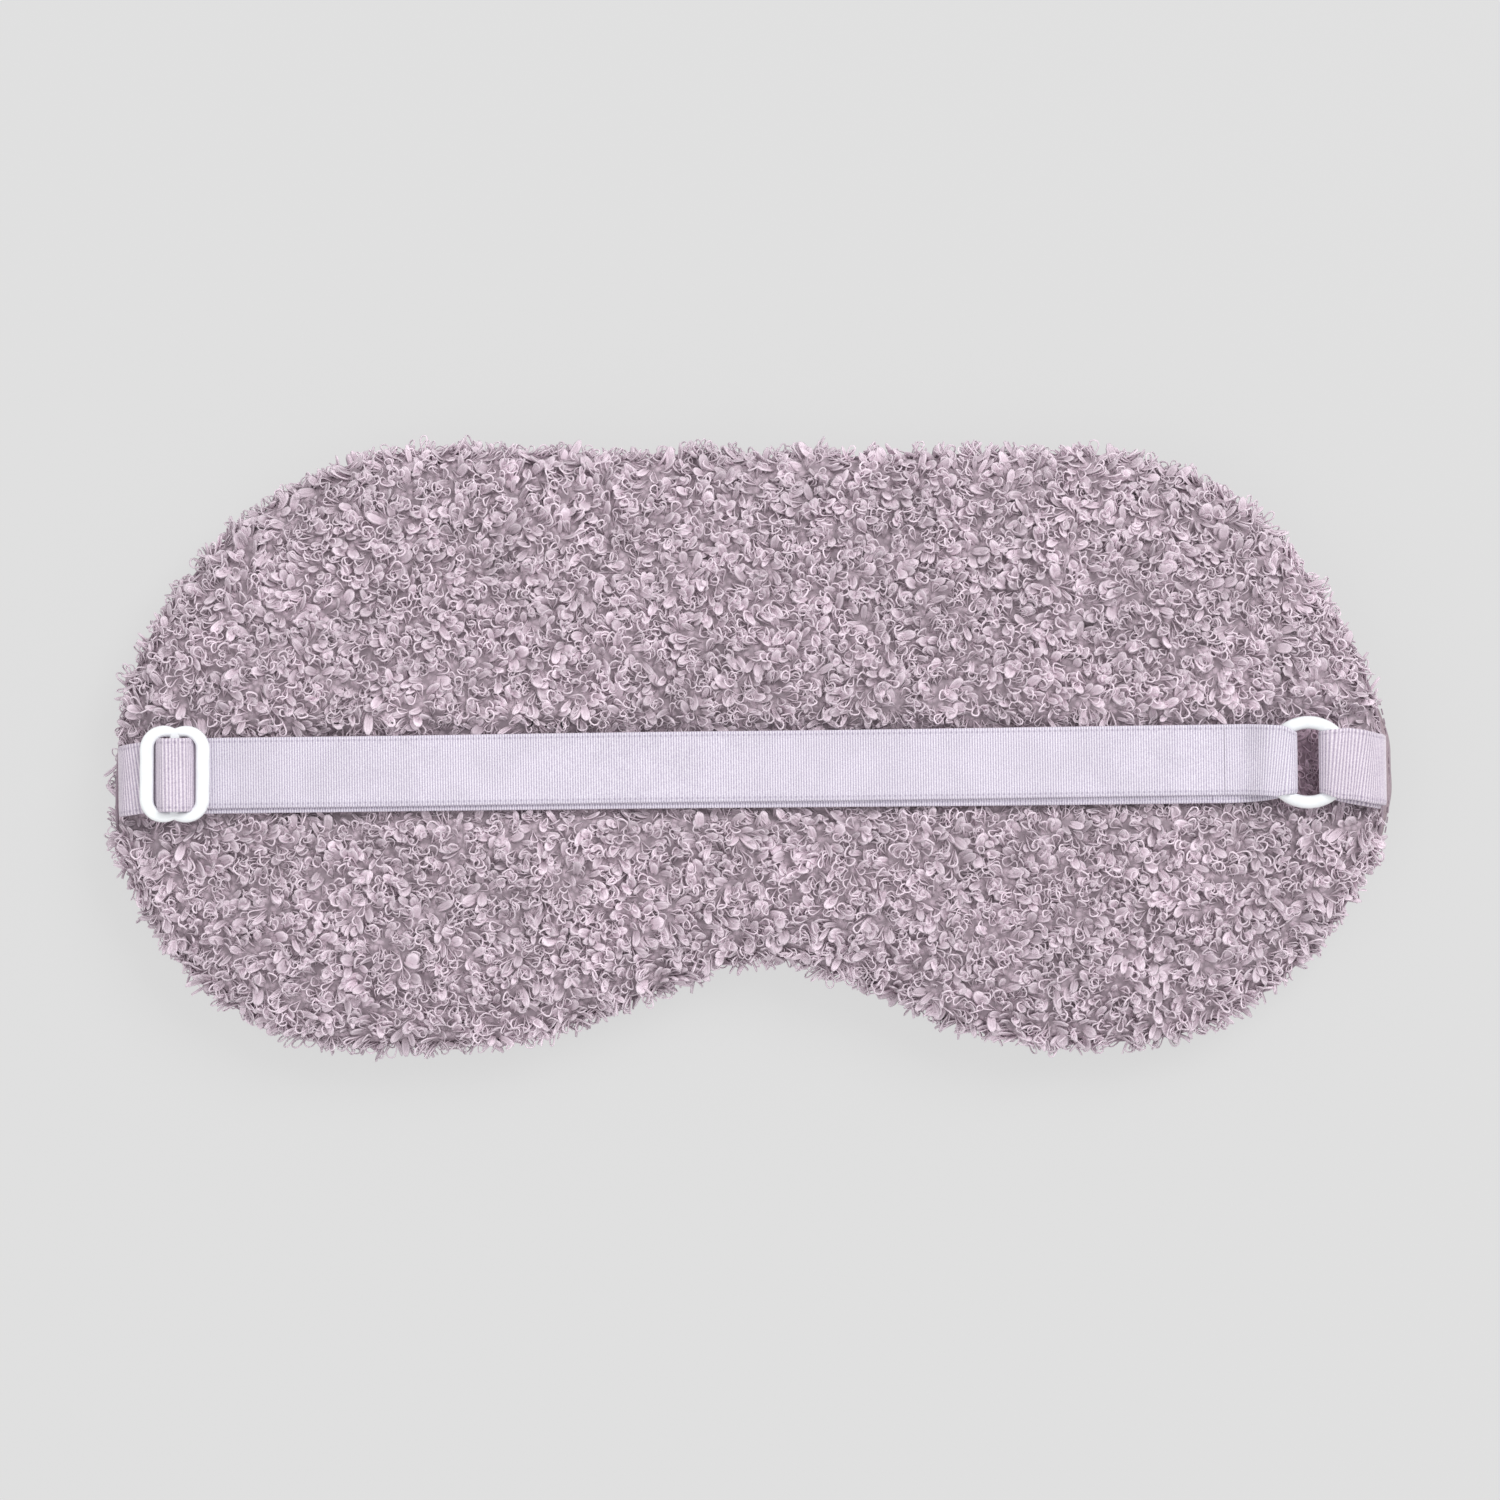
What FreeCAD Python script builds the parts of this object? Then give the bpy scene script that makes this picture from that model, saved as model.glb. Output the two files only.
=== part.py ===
import FreeCAD, Part
import math
import os
from FreeCAD import Vector

# Two-eye sleep mask in looped terry with an adjustable elastic strap, lying on its outer face.
# Millimetres. Origin: centre of the mask's outline, on the face it rests on.
# +X along the mask, +Y to the brow, +Z to the wearer. The nose notch is on the -Y side.

# ---- mask outline: corners of one half, given from the outline's own edges ----
MASK_LENGTH = 217.0
MASK_HEIGHT = 102.0
BROW_IN = 29.0
BROW_ROUND = 51.0
TEMPLE_DOWN = 38.0
TEMPLE_ROUND = 54.0
CHEEK_UP = 35.0
CHEEK_ROUND = 27.0
LOBE_IN = 17.0
LOBE_ROUND = 43.0
NOTCH_FOOT = 39.5
NOTCH_FOOT_ROUND = 51.0
NOTCH_HALF_WIDTH = 5.4
NOTCH_ROUND = 20.0
NOTCH_DEPTH = 14.7

# ---- mask section ----
MASK_THICKNESS = 18.0
EDGE_ROUND = 7.5
COVER_WALL = 3.0
LINING_THICKNESS = 0.4
FILL_GAP = 0.2
BED_DEPTH = 1.6
BED_MARGIN = 0.5

# ---- elastic ----
ELASTIC_WIDTH = 12.0
ELASTIC_THICKNESS = 0.7
STRAP_TILT = 0.78
STRAP_Y = -2.6
RETURN_DROP = 1.2
EDGE_BEND = 4.8
TAIL_INSET = 1.0
TAB_INSET = 0.8
SEWN_LENGTH = 8.0

# ---- slider ----
SLIDER_IN = 10.8
SLIDER_YAW = -1.2
SLIDER_LOBE = 8.0
SLIDER_LOBE_SHIFT = 1.9
SLIDER_HEIGHT = 16.4
SLIDER_THICKNESS = 1.8
SLIDER_SIDE_BAR = 2.35
WINDOW_SLACK = 0.3
WINDOW_ROUND = 1.9
SLIDER_EDGE_ROUND = 0.65
MIDDLE_BAR_WIDTH = 1.6
MIDDLE_BAR_THICKNESS = 1.0

# ---- ring ----
RING_IN = 14.3
RING_INNER = 11.3
RING_WIRE = 2.2
FOLD_GAP = 4.0
RAMP_RUN = 4.0
RAMP_BEND = 2.0
TAB_SLOPE = 1.25
BAR_ROUND = 0.33

# ---- threads ----
SEAM_INSET = 1.8
SEAM_WIDTH = 0.5
THREAD = 0.4
CLOSING_START = 12.0
CLOSING_PITCH = 4.0
CLOSING_COUNT = 10
ANCHOR_PITCH = 1.5
ANCHOR_ROW_IN = 2.5

# ---- clearances ----
CLEAR = 0.3
LAYER_GAP = 0.1
SEWN_GAP = 0.05

# ---- levels and places that follow from the sizes above ----
HALF_LENGTH = MASK_LENGTH / 2
HALF_HEIGHT = MASK_HEIGHT / 2
SEAM_Z = MASK_THICKNESS / 2
BED_Z = MASK_THICKNESS - BED_DEPTH
SLIDER_X = SLIDER_IN - HALF_LENGTH
RING_X = HALF_LENGTH - RING_IN
HALF_ELASTIC = ELASTIC_THICKNESS / 2
LAYER = ELASTIC_THICKNESS + LAYER_GAP
RETURN_Z = BED_Z + CLEAR + HALF_ELASTIC
RUN_Z = RETURN_Z + LAYER
SLIDER_Z = RUN_Z + HALF_ELASTIC + CLEAR
SLIDER_TOP = SLIDER_Z + SLIDER_THICKNESS
BAR_Z = SLIDER_TOP - MIDDLE_BAR_THICKNESS
LOOP_LOW_Z = BAR_Z - LAYER_GAP - HALF_ELASTIC
LOOP_HIGH_Z = SLIDER_TOP + LAYER_GAP + HALF_ELASTIC
WEAVE_Z = LOOP_HIGH_Z + ELASTIC_THICKNESS + CLEAR
WINDOW_HEIGHT = ELASTIC_WIDTH + 2 * WINDOW_SLACK
SLIDER_HALF = SLIDER_LOBE / 2 + SLIDER_LOBE_SHIFT
WINDOW_HALF = SLIDER_HALF - SLIDER_SIDE_BAR
WIRE_R = RING_WIRE / 2
RING_R = RING_INNER / 2 + WIRE_R
RING_Z = RETURN_Z + HALF_ELASTIC + CLEAR + WIRE_R
RING_Y = -RETURN_DROP / 2
OVER_RING_Z = RING_Z + WIRE_R + CLEAR + HALF_ELASTIC
RING_REACH = RING_R + WIRE_R
RAMP_TOP = RING_REACH + 2 * CLEAR
RAMP_FOOT = RAMP_TOP + RAMP_RUN
BED_WIDTH = max(SLIDER_HEIGHT, 2 * RING_REACH) + 2 * BED_MARGIN
TAIL_X = -(HALF_LENGTH - TAIL_INSET)
TAB_X = HALF_LENGTH - TAB_INSET
TAB_INNER_X = TAB_X - LAYER
WEAVE_FOOT = WINDOW_HALF + SLIDER_SIDE_BAR / 2
WEAVE_HALF = (WINDOW_HALF + MIDDLE_BAR_WIDTH / 2 + LAYER) / 2


def rounded_loop(corners):
    """Closed wire through (point, radius) corners, each rounded by an arc of its radius."""
    ends = []
    count = len(corners)
    for i, (point, radius) in enumerate(corners):
        before = (corners[i - 1][0] - point).normalize()
        after = (corners[(i + 1) % count][0] - point).normalize()
        half = before.getAngle(after) / 2
        if radius <= 0 or half > math.pi / 2 - 1e-6:
            ends.append((point, None, point))
            continue
        tangent = radius / math.tan(half)
        centre = point + (before + after).normalize() * (radius / math.sin(half))
        middle = centre + (point - centre).normalize() * radius
        ends.append((point + before * tangent, middle, point + after * tangent))
    edges = []
    for i, (start, middle, end) in enumerate(ends):
        if middle is not None:
            edges.append(Part.Arc(start, middle, end).toShape())
        following = ends[(i + 1) % count][0]
        if (following - end).Length > 1e-6:
            edges.append(Part.LineSegment(end, following).toShape())
    return Part.Wire(edges)


def side_corners(points, bends, offset):
    """Rounded corners of a path in the XZ plane moved sideways; a positive offset is to its left."""
    path = [Vector(x, 0, z) for x, z in points]
    ways = [(b - a).normalize() for a, b in zip(path, path[1:])]
    left = [Vector(-way.z, 0, way.x) for way in ways]
    corners = [(path[0] + left[0] * offset, 0)]
    for i, bend in enumerate(bends, start=1):
        turn = ways[i - 1].x * ways[i].z - ways[i - 1].z * ways[i].x
        mitre = (left[i - 1] + left[i]) * (offset / (1 + left[i - 1].dot(left[i])))
        corners.append((path[i] + mitre, bend - math.copysign(abs(offset), turn * offset)))
    corners.append((path[-1] + left[-1] * offset, 0))
    return corners


def band(points, bends, width, y=0.0, right=HALF_ELASTIC, left=HALF_ELASTIC):
    """Flat strip along a path in the XZ plane, with a bend radius for each corner of the path."""
    outer = side_corners(points, bends, left)
    inner = side_corners(points, bends, -right)
    face = Part.Face(rounded_loop(outer + inner[::-1]))
    face.translate(Vector(0, y - width / 2, 0))
    return face.extrude(Vector(0, width, 0))


def box(low, high):
    """Box between two corners."""
    return Part.makeBox(high[0] - low[0], high[1] - low[1], high[2] - low[2], Vector(*low))


def on_strap(shape):
    """Turns and moves a shape from the strap's own frame to the mask's."""
    shape.rotate(Vector(0, 0, 0), Vector(0, 0, 1), STRAP_TILT)
    shape.translate(Vector(0, STRAP_Y, 0))
    return shape


def mask_outline():
    """Outline of the whole mask, from one half's corners."""
    half = [
        (HALF_LENGTH - BROW_IN, HALF_HEIGHT, BROW_ROUND),
        (HALF_LENGTH, HALF_HEIGHT - TEMPLE_DOWN, TEMPLE_ROUND),
        (HALF_LENGTH, CHEEK_UP - HALF_HEIGHT, CHEEK_ROUND),
        (HALF_LENGTH - LOBE_IN, -HALF_HEIGHT, LOBE_ROUND),
        (NOTCH_FOOT, -HALF_HEIGHT, NOTCH_FOOT_ROUND),
        (NOTCH_HALF_WIDTH, NOTCH_DEPTH - HALF_HEIGHT, NOTCH_ROUND),
    ]
    right = [(Vector(x, y, 0), r) for x, y, r in half]
    left = [(Vector(-x, y, 0), r) for x, y, r in reversed(half)]
    return rounded_loop(right + left)


def mask_slab(depth):
    """The mask's puffed envelope, everywhere this deep under the pile's surface."""
    outline = mask_outline()
    if depth > 0:
        outline = outline.makeOffset2D(-depth)
    slab = Part.Face(outline).extrude(Vector(0, 0, MASK_THICKNESS - 2 * depth))
    rims = [e for e in slab.Edges if e.BoundBox.ZLength < 1e-6]
    slab = slab.makeFillet(EDGE_ROUND - depth, rims)
    slab.translate(Vector(0, 0, depth))
    return slab


def half_space(above):
    """Large box on one side of the seam plane."""
    reach = MASK_LENGTH
    if above:
        return box((-reach, -reach, SEAM_Z), (reach, reach, 2 * MASK_THICKNESS))
    return box((-reach, -reach, -MASK_THICKNESS), (reach, reach, SEAM_Z))


def seam_bead():
    """The seam that joins the covers: a thin bead that follows the outline on the seam plane."""
    outer = Part.Face(mask_outline().makeOffset2D(-SEAM_INSET))
    inner = Part.Face(mask_outline().makeOffset2D(-SEAM_INSET - SEAM_WIDTH))
    bead = outer.cut(inner).extrude(Vector(0, 0, SEAM_WIDTH))
    bead.translate(Vector(0, 0, SEAM_Z - SEAM_WIDTH / 2))
    return bead


def closing_row():
    """Slanted stitches that close the turning gap in the top edge."""
    rise = Vector(CLOSING_PITCH / 3, 0, COVER_WALL)
    stitches = []
    for i in range(CLOSING_COUNT):
        foot = Vector(CLOSING_START + i * CLOSING_PITCH, HALF_HEIGHT - SEAM_INSET / 2, SEAM_Z)
        stitches.append(Part.makeCylinder(THREAD / 2, rise.Length, foot - rise * 0.5, rise))
    return Part.Compound(stitches)


def anchor_row(x):
    """A row of stitches across the elastic, through a sewn-in end at x."""
    count = int(ELASTIC_WIDTH // ANCHOR_PITCH)
    reach = COVER_WALL / 2
    return on_strap(stitch_row(x, count, SEAM_Z - reach, SEAM_Z + reach))


def sewn_end(x, side, layers, gap=0.0):
    """The flat end of the elastic between the covers, reaching inwards from x."""
    half = layers * ELASTIC_THICKNESS / 2 + (layers - 1) * LAYER_GAP / 2 + gap
    inner = x - side * (SEWN_LENGTH + gap)
    outer = x + side * (HALF_ELASTIC + gap)
    width = ELASTIC_WIDTH / 2 + gap
    return on_strap(box((min(inner, outer), -width, SEAM_Z - half),
                        (max(inner, outer), width, SEAM_Z + half)))


def tail_path():
    """From under the slider's left bar, over the puffed edge, down to the seam."""
    foot = SEAM_Z + HALF_ELASTIC + SEWN_GAP
    return [(TAIL_X, foot), (TAIL_X, RUN_Z), (SLIDER_X - WEAVE_FOOT, RUN_Z)]


def weave_path():
    """Under the left bar, over the middle bar and the folded end, and under the right bar."""
    return [
        (SLIDER_X - WEAVE_FOOT, RUN_Z),
        (SLIDER_X - WEAVE_HALF, RUN_Z),
        (SLIDER_X - WEAVE_HALF, WEAVE_Z),
        (SLIDER_X + WEAVE_HALF, WEAVE_Z),
        (SLIDER_X + WEAVE_HALF, RUN_Z),
        (SLIDER_X + WEAVE_FOOT, RUN_Z),
    ]


def turn_path():
    """Up over the ring's left side, round it through the hole, and back under it."""
    fold = RING_X - FOLD_GAP / 2 - HALF_ELASTIC
    foot = RING_X - RAMP_FOOT
    return [
        (foot - RAMP_BEND, RUN_Z),
        (foot, RUN_Z),
        (RING_X - RAMP_TOP, OVER_RING_Z),
        (fold, OVER_RING_Z),
        (fold, RETURN_Z),
        (foot - RAMP_BEND, RETURN_Z),
    ]


def tab_inner_path():
    """The tab's lower layer: from the ring, over the puffed edge, down to the seam."""
    foot = SEAM_Z + HALF_ELASTIC + LAYER / 2 + SEWN_GAP
    return [(RING_X, RETURN_Z), (TAB_INNER_X, RETURN_Z), (TAB_INNER_X, foot)]


def tab_path():
    """The whole tab, from the seam over the ring, round it and back under it to the seam."""
    fold = RING_X + FOLD_GAP / 2 + HALF_ELASTIC
    lower = tab_inner_path()
    brink = RING_X + RING_REACH + CLEAR
    drop = OVER_RING_Z - (TAB_X - brink) * TAB_SLOPE
    return [
        (TAB_X, lower[-1][1]),
        (TAB_X, drop),
        (brink, OVER_RING_Z),
        (fold, OVER_RING_Z),
        (fold, RETURN_Z),
        (TAB_INNER_X, RETURN_Z),
        (TAB_INNER_X, lower[-1][1]),
    ]


def fold_trim(side):
    """Plan outline of the elastic by the ring, narrowed where it folds through the ring's hole."""
    half = ELASTIC_WIDTH / 2
    inner = RING_INNER / 2 - LAYER_GAP
    nearest = FOLD_GAP / 2 + ELASTIC_THICKNESS
    narrow = min(half, math.sqrt(inner ** 2 - nearest ** 2))
    neck = RING_X + side * nearest
    full = RING_X + side * RING_R
    far = RING_X + side * 2 * HALF_LENGTH
    near = RING_X
    outline = [(near, -narrow), (neck, -narrow), (full, -half), (far, -half),
               (far, half), (full, half), (neck, narrow), (near, narrow)]
    points = [Vector(x, y + RING_Y, 0) for x, y in outline]
    face = Part.Face(Part.makePolygon(points + points[:1]))
    return face.extrude(Vector(0, 0, 2 * MASK_THICKNESS))


def window_prism(inset=0.0):
    """The slider's window as a tall prism round the origin, smaller all round by the inset."""
    x, y = WINDOW_HALF - inset, WINDOW_HEIGHT / 2 - inset
    corners = [(Vector(i * x, j * y, 0), WINDOW_ROUND) for i, j in ((1, 1), (-1, 1), (-1, -1), (1, -1))]
    return Part.Face(rounded_loop(corners)).extrude(Vector(0, 0, 2 * MASK_THICKNESS))


def on_slider(shape, z=0.0):
    """Moves a shape from the slider's own frame to the mask's."""
    shape.rotate(Vector(0, 0, 0), Vector(0, 0, 1), SLIDER_YAW)
    shape.translate(Vector(SLIDER_X, 0, z))
    return on_strap(shape)


def tail():
    return on_strap(band(tail_path(), [EDGE_BEND], ELASTIC_WIDTH))


def weave():
    """The woven stretch, whose edges give way to the rounded corners of the window."""
    bends = [HALF_ELASTIC + LAYER_GAP] * 4
    strip = on_strap(band(weave_path(), bends, ELASTIC_WIDTH))
    reach = 2 * WEAVE_FOOT
    under = on_slider(box((-reach, -reach, 0), (reach, reach, SLIDER_Z - LAYER_GAP)))
    return strip.common(under.fuse(on_slider(window_prism(WINDOW_SLACK / 2)))).removeSplitter()


def flat_run(start, end, z, y=0.0):
    """A straight flat stretch of the elastic."""
    half = ELASTIC_WIDTH / 2
    return on_strap(box((start, y - half, z - HALF_ELASTIC), (end, y + half, z + HALF_ELASTIC)))


def ring_turn():
    fold_bend = (OVER_RING_Z - RETURN_Z) / 2
    bends = [RAMP_BEND, RAMP_BEND, fold_bend, fold_bend]
    strip = band(turn_path(), bends, ELASTIC_WIDTH, RING_Y)
    return on_strap(strip.common(fold_trim(-1)))


def ring_tab():
    fold_bend = (OVER_RING_Z - RETURN_Z) / 2
    bends = [EDGE_BEND / 2, RAMP_BEND, fold_bend, fold_bend, EDGE_BEND]
    strip = band(tab_path(), bends, ELASTIC_WIDTH, RING_Y)
    return on_strap(strip.common(fold_trim(1)))


def slider_frame():
    """Figure-8 slider: two round-ended lobes, a window each side of a thinner middle bar."""
    lobes = []
    for side in (-1, 1):
        centre = side * SLIDER_LOBE_SHIFT
        corners = [(centre + x * SLIDER_LOBE / 2, y * SLIDER_HEIGHT / 2)
                   for x, y in ((1, 1), (-1, 1), (-1, -1), (1, -1))]
        lobe = rounded_loop([(Vector(x, y, 0), SLIDER_LOBE / 2 - 1e-4) for x, y in corners])
        lobes.append(Part.Face(lobe).extrude(Vector(0, 0, SLIDER_THICKNESS)))
    body = lobes[0].fuse(lobes[1]).removeSplitter()
    notches = [e for e in body.Edges if e.BoundBox.ZLength > SLIDER_THICKNESS / 2
               and abs(e.BoundBox.Center.x) < 0.1]
    body = body.makeFillet(SLIDER_EDGE_ROUND / 2, notches)
    frame = body.cut(window_prism())
    rims = [e for e in frame.Edges if e.BoundBox.ZLength < 1e-6]
    frame = frame.makeFillet(SLIDER_EDGE_ROUND, rims)
    half = MIDDLE_BAR_WIDTH / 2
    bar_low = SLIDER_THICKNESS - MIDDLE_BAR_THICKNESS
    reach = WINDOW_HEIGHT / 2
    end = reach + SLIDER_EDGE_ROUND
    bar = box((-half, -end, bar_low), (half, end, SLIDER_THICKNESS))
    rims = [e for e in bar.Edges if e.BoundBox.YLength > reach]
    bar = bar.makeFillet(BAR_ROUND, rims)
    return on_slider(frame.fuse(bar).removeSplitter(), SLIDER_Z)


def slider_loop():
    """The elastic's end, folded round the middle bar and open to the right."""
    open_end = MIDDLE_BAR_WIDTH / 2 + LAYER
    bend = (LOOP_HIGH_Z - LOOP_LOW_Z) / 2
    fold = -MIDDLE_BAR_WIDTH / 2 - CLEAR - HALF_ELASTIC
    path = [(open_end, LOOP_HIGH_Z), (fold, LOOP_HIGH_Z), (fold, LOOP_LOW_Z), (open_end, LOOP_LOW_Z)]
    return on_slider(band(path, [bend, bend], ELASTIC_WIDTH - 2 * WINDOW_SLACK))


def stitch_row(x, count, low, high):
    """Upright stitches in a row across the elastic."""
    first = -(count - 1) / 2 * ANCHOR_PITCH
    return Part.Compound([
        Part.makeCylinder(THREAD / 2, high - low, Vector(x, first + i * ANCHOR_PITCH, low))
        for i in range(count)
    ])


def loop_stitches():
    """The row that closes the folded end, between its two layers."""
    x = MIDDLE_BAR_WIDTH / 2 + LAYER - THREAD
    count = int(ELASTIC_WIDTH // ANCHOR_PITCH) - 1
    return on_slider(stitch_row(x, count, LOOP_LOW_Z + HALF_ELASTIC, LOOP_HIGH_Z - HALF_ELASTIC))


def ring():
    return on_strap(Part.makeTorus(RING_R, WIRE_R, Vector(RING_X, RING_Y, RING_Z)))


def strap_room():
    """All that the covers leave free for the strap: its bed and the way over each edge."""
    bed_half = BED_WIDTH / 2
    bed = box((TAIL_X, -bed_half, BED_Z), (TAB_X, bed_half, 2 * MASK_THICKNESS))
    reach = 2 * MASK_THICKNESS
    inset = HALF_ELASTIC + CLEAR
    width = ELASTIC_WIDTH + 2 * BED_MARGIN + RETURN_DROP
    left = [(TAIL_X, SEAM_Z), (TAIL_X, RETURN_Z), (SLIDER_X, RETURN_Z)]
    right = [(RING_X, RETURN_Z), (TAB_INNER_X, RETURN_Z), (TAB_INNER_X, SEAM_Z)]
    room = [bed]
    for path in (left, right):
        room.append(band(path, [EDGE_BEND], width, RING_Y, right=inset, left=reach))
    return on_strap(room[0].fuse(room[1:]))


def covers():
    """Back and front cover, each with the clearances that the pieces between them need."""
    shell = mask_slab(0).cut(mask_slab(COVER_WALL))
    sewn = [sewn_end(TAIL_X, -1, 1, SEWN_GAP), sewn_end(TAB_X, 1, 2, SEWN_GAP)]
    threads = [seam_bead(), closing_row(), anchor_row(TAIL_X + ANCHOR_ROW_IN),
               anchor_row(TAB_X - ANCHOR_ROW_IN)]
    shell = shell.cut(sewn + threads)
    back = shell.common(half_space(True)).cut(strap_room())
    front = shell.common(half_space(False))
    return back, front


def fillings():
    """The lining behind the front cover and the padding that fills the rest."""
    core = mask_slab(COVER_WALL + FILL_GAP)
    reach = MASK_LENGTH
    floor = COVER_WALL + FILL_GAP
    split = floor + LINING_THICKNESS
    lining = core.common(box((-reach, -reach, 0), (reach, reach, split)))
    padding = core.common(box((-reach, -reach, split + LAYER_GAP), (reach, reach, MASK_THICKNESS)))
    inner_ends = [sewn_end(TAIL_X, -1, 1, CLEAR), sewn_end(TAB_X, 1, 2, CLEAR),
                  anchor_row(TAIL_X + ANCHOR_ROW_IN), anchor_row(TAB_X - ANCHOR_ROW_IN)]
    return lining, padding.cut(inner_ends)


def main():
    back, front = covers()
    lining, padding = fillings()
    bead = seam_bead()
    left_anchor = anchor_row(TAIL_X + ANCHOR_ROW_IN)
    right_anchor = anchor_row(TAB_X - ANCHOR_ROW_IN)
    turn_start = RING_X - RAMP_FOOT - RAMP_BEND
    return_start = SLIDER_X - MIDDLE_BAR_WIDTH / 2
    nodes = {
        "back_cover": back,
        "front_cover": front,
        "padding": padding,
        "blackout_lining": lining,
        "seam_thread": bead,
        "closing_stitches": closing_row(),
        "strap_sewn_end": sewn_end(TAIL_X, -1, 1).cut([bead, left_anchor]),
        "tab_sewn_end": sewn_end(TAB_X, 1, 2).cut([bead, right_anchor]),
        "left_anchor_stitches": left_anchor,
        "right_anchor_stitches": right_anchor,
        "strap_tail": tail(),
        "strap_weave": weave(),
        "strap_run_left": flat_run(SLIDER_X + WEAVE_FOOT, 0, RUN_Z),
        "strap_run_right": flat_run(0, turn_start, RUN_Z),
        "strap_return_left": flat_run(return_start, 0, RETURN_Z, -RETURN_DROP),
        "strap_return_right": flat_run(0, turn_start, RETURN_Z, -RETURN_DROP),
        "ring_turn": ring_turn(),
        "ring_tab": ring_tab(),
        "slider": slider_frame(),
        "slider_loop": slider_loop(),
        "loop_stitches": loop_stitches(),
        "ring": ring(),
    }
    os.makedirs("parts", exist_ok=True)
    for name, shape in nodes.items():
        print(f"{name}: {len(shape.Solids)} solid(s), valid {shape.isValid()}, {shape.Volume:.1f} mm3")
        shape.exportStep(f"parts/{name}.step")


main()
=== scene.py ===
"""Terry sleep mask: puffed covers, looped pile, ribbed elastic strap, coated slider and ring."""

import math

import bmesh
import bpy
import numpy as np
from bpy.props import FloatProperty, FloatVectorProperty, IntProperty, PointerProperty
from mathutils import Matrix, Vector, noise
from mathutils.bvhtree import BVHTree


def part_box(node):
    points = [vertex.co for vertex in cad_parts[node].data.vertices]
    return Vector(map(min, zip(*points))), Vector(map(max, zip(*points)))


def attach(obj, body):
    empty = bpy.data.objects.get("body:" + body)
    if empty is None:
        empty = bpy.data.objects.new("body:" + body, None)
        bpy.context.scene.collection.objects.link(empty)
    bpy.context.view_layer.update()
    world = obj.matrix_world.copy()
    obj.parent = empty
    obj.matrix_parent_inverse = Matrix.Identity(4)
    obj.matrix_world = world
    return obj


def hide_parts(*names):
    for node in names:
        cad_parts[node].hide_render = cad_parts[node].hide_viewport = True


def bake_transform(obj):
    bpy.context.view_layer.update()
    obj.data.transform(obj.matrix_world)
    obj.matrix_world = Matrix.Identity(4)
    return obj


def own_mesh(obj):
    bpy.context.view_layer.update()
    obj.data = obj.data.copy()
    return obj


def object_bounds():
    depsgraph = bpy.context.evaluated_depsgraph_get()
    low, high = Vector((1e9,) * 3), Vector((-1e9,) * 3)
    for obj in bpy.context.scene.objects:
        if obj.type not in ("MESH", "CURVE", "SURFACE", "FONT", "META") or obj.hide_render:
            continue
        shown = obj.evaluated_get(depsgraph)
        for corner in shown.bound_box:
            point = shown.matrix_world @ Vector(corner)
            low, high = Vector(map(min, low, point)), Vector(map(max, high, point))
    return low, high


bl_info = {
    "name": "Terry sleep mask",
    "version": (1, 0, 0),
    "blender": (4, 5, 0),
    "location": "3D View > Sidebar > Sleep mask",
    "description": "Makes the soft pieces, the finishes and the stage of a padded terry sleep mask",
    "category": "Object",
}

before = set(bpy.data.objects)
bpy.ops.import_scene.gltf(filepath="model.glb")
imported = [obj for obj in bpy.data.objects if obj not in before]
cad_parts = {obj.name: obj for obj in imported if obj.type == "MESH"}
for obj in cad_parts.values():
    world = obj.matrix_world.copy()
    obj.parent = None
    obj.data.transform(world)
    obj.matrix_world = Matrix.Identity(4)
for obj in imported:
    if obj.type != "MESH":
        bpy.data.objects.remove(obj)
CAD_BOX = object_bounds()

# ---- lengths below are in millimetres, and meshes are made in metres ----
MM = 0.001


def node_box(node):
    """A frame node's lowest and highest corner, in millimetres."""
    low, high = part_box(node)
    return np.array(low) / MM, np.array(high) / MM


def middle(node, axis):
    low, high = node_box(node)
    return (low[axis] + high[axis]) / 2


def linear(*channels):
    """An sRGB colour, each channel from 0 to 255, as the linear RGBA that materials take."""
    return tuple((c / 255 / 12.92) if c < 11 else ((c / 255 + 0.055) / 1.055) ** 2.4
                 for c in channels) + (1.0,)


def darker(colour, share):
    """This share of a colour."""
    return tuple(c * share for c in tuple(colour)[:3]) + (1.0,)


# ---- places read from the frame ----
SEAM_Z = node_box("front_cover")[1][2]
TOP_Z = node_box("back_cover")[1][2]
RUN_Z = middle("strap_run_left", 2)
RETURN_Z = middle("strap_return_left", 2)
RING_Z = middle("ring", 2)
RING_OUTER = (node_box("ring")[1][0] - node_box("ring")[0][0]) / 2
SLIDER_LOW = node_box("slider")[0][2]
SLIDER_TRAVEL = 68.0   # as far as the slider can go along the strap
WEAVE_TOP = node_box("strap_weave")[1][2]

# ---- the strap's own frame: along it, across it and up, from a point under its middle ----
TILT = math.radians(0.78)
STRAP_Y = -2.6
ELASTIC_WIDTH = 12.0
ELASTIC_THICKNESS = 0.7
STRETCH_ZONE = 22.0   # how far left of the middle the lower run is cut: the piece from there to the slider rides with the strap's left end


def on_strap(points):
    """Points in the strap's own frame as points of the row frame, in metres."""
    u, v, z = np.asarray(points, float).T
    return np.stack([u * math.cos(TILT) - v * math.sin(TILT),
                     u * math.sin(TILT) + v * math.cos(TILT) + STRAP_Y, z], 1) * MM


def strap_uv(points):
    """How far along and across the strap points of the row frame (metres) are, in millimetres."""
    x, y = points[:, 0] / MM, points[:, 1] / MM - STRAP_Y
    return (x * math.cos(TILT) + y * math.sin(TILT), y * math.cos(TILT) - x * math.sin(TILT))


def strap_place(node):
    low, high = node_box(node)
    centre = np.array([[*(low + high) / 2]]) * MM
    u, v = strap_uv(centre)
    return float(u[0]), float(v[0])


RING_U, RING_V = strap_place("ring")
SLIDER_U, SLIDER_V = strap_place("slider")


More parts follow.
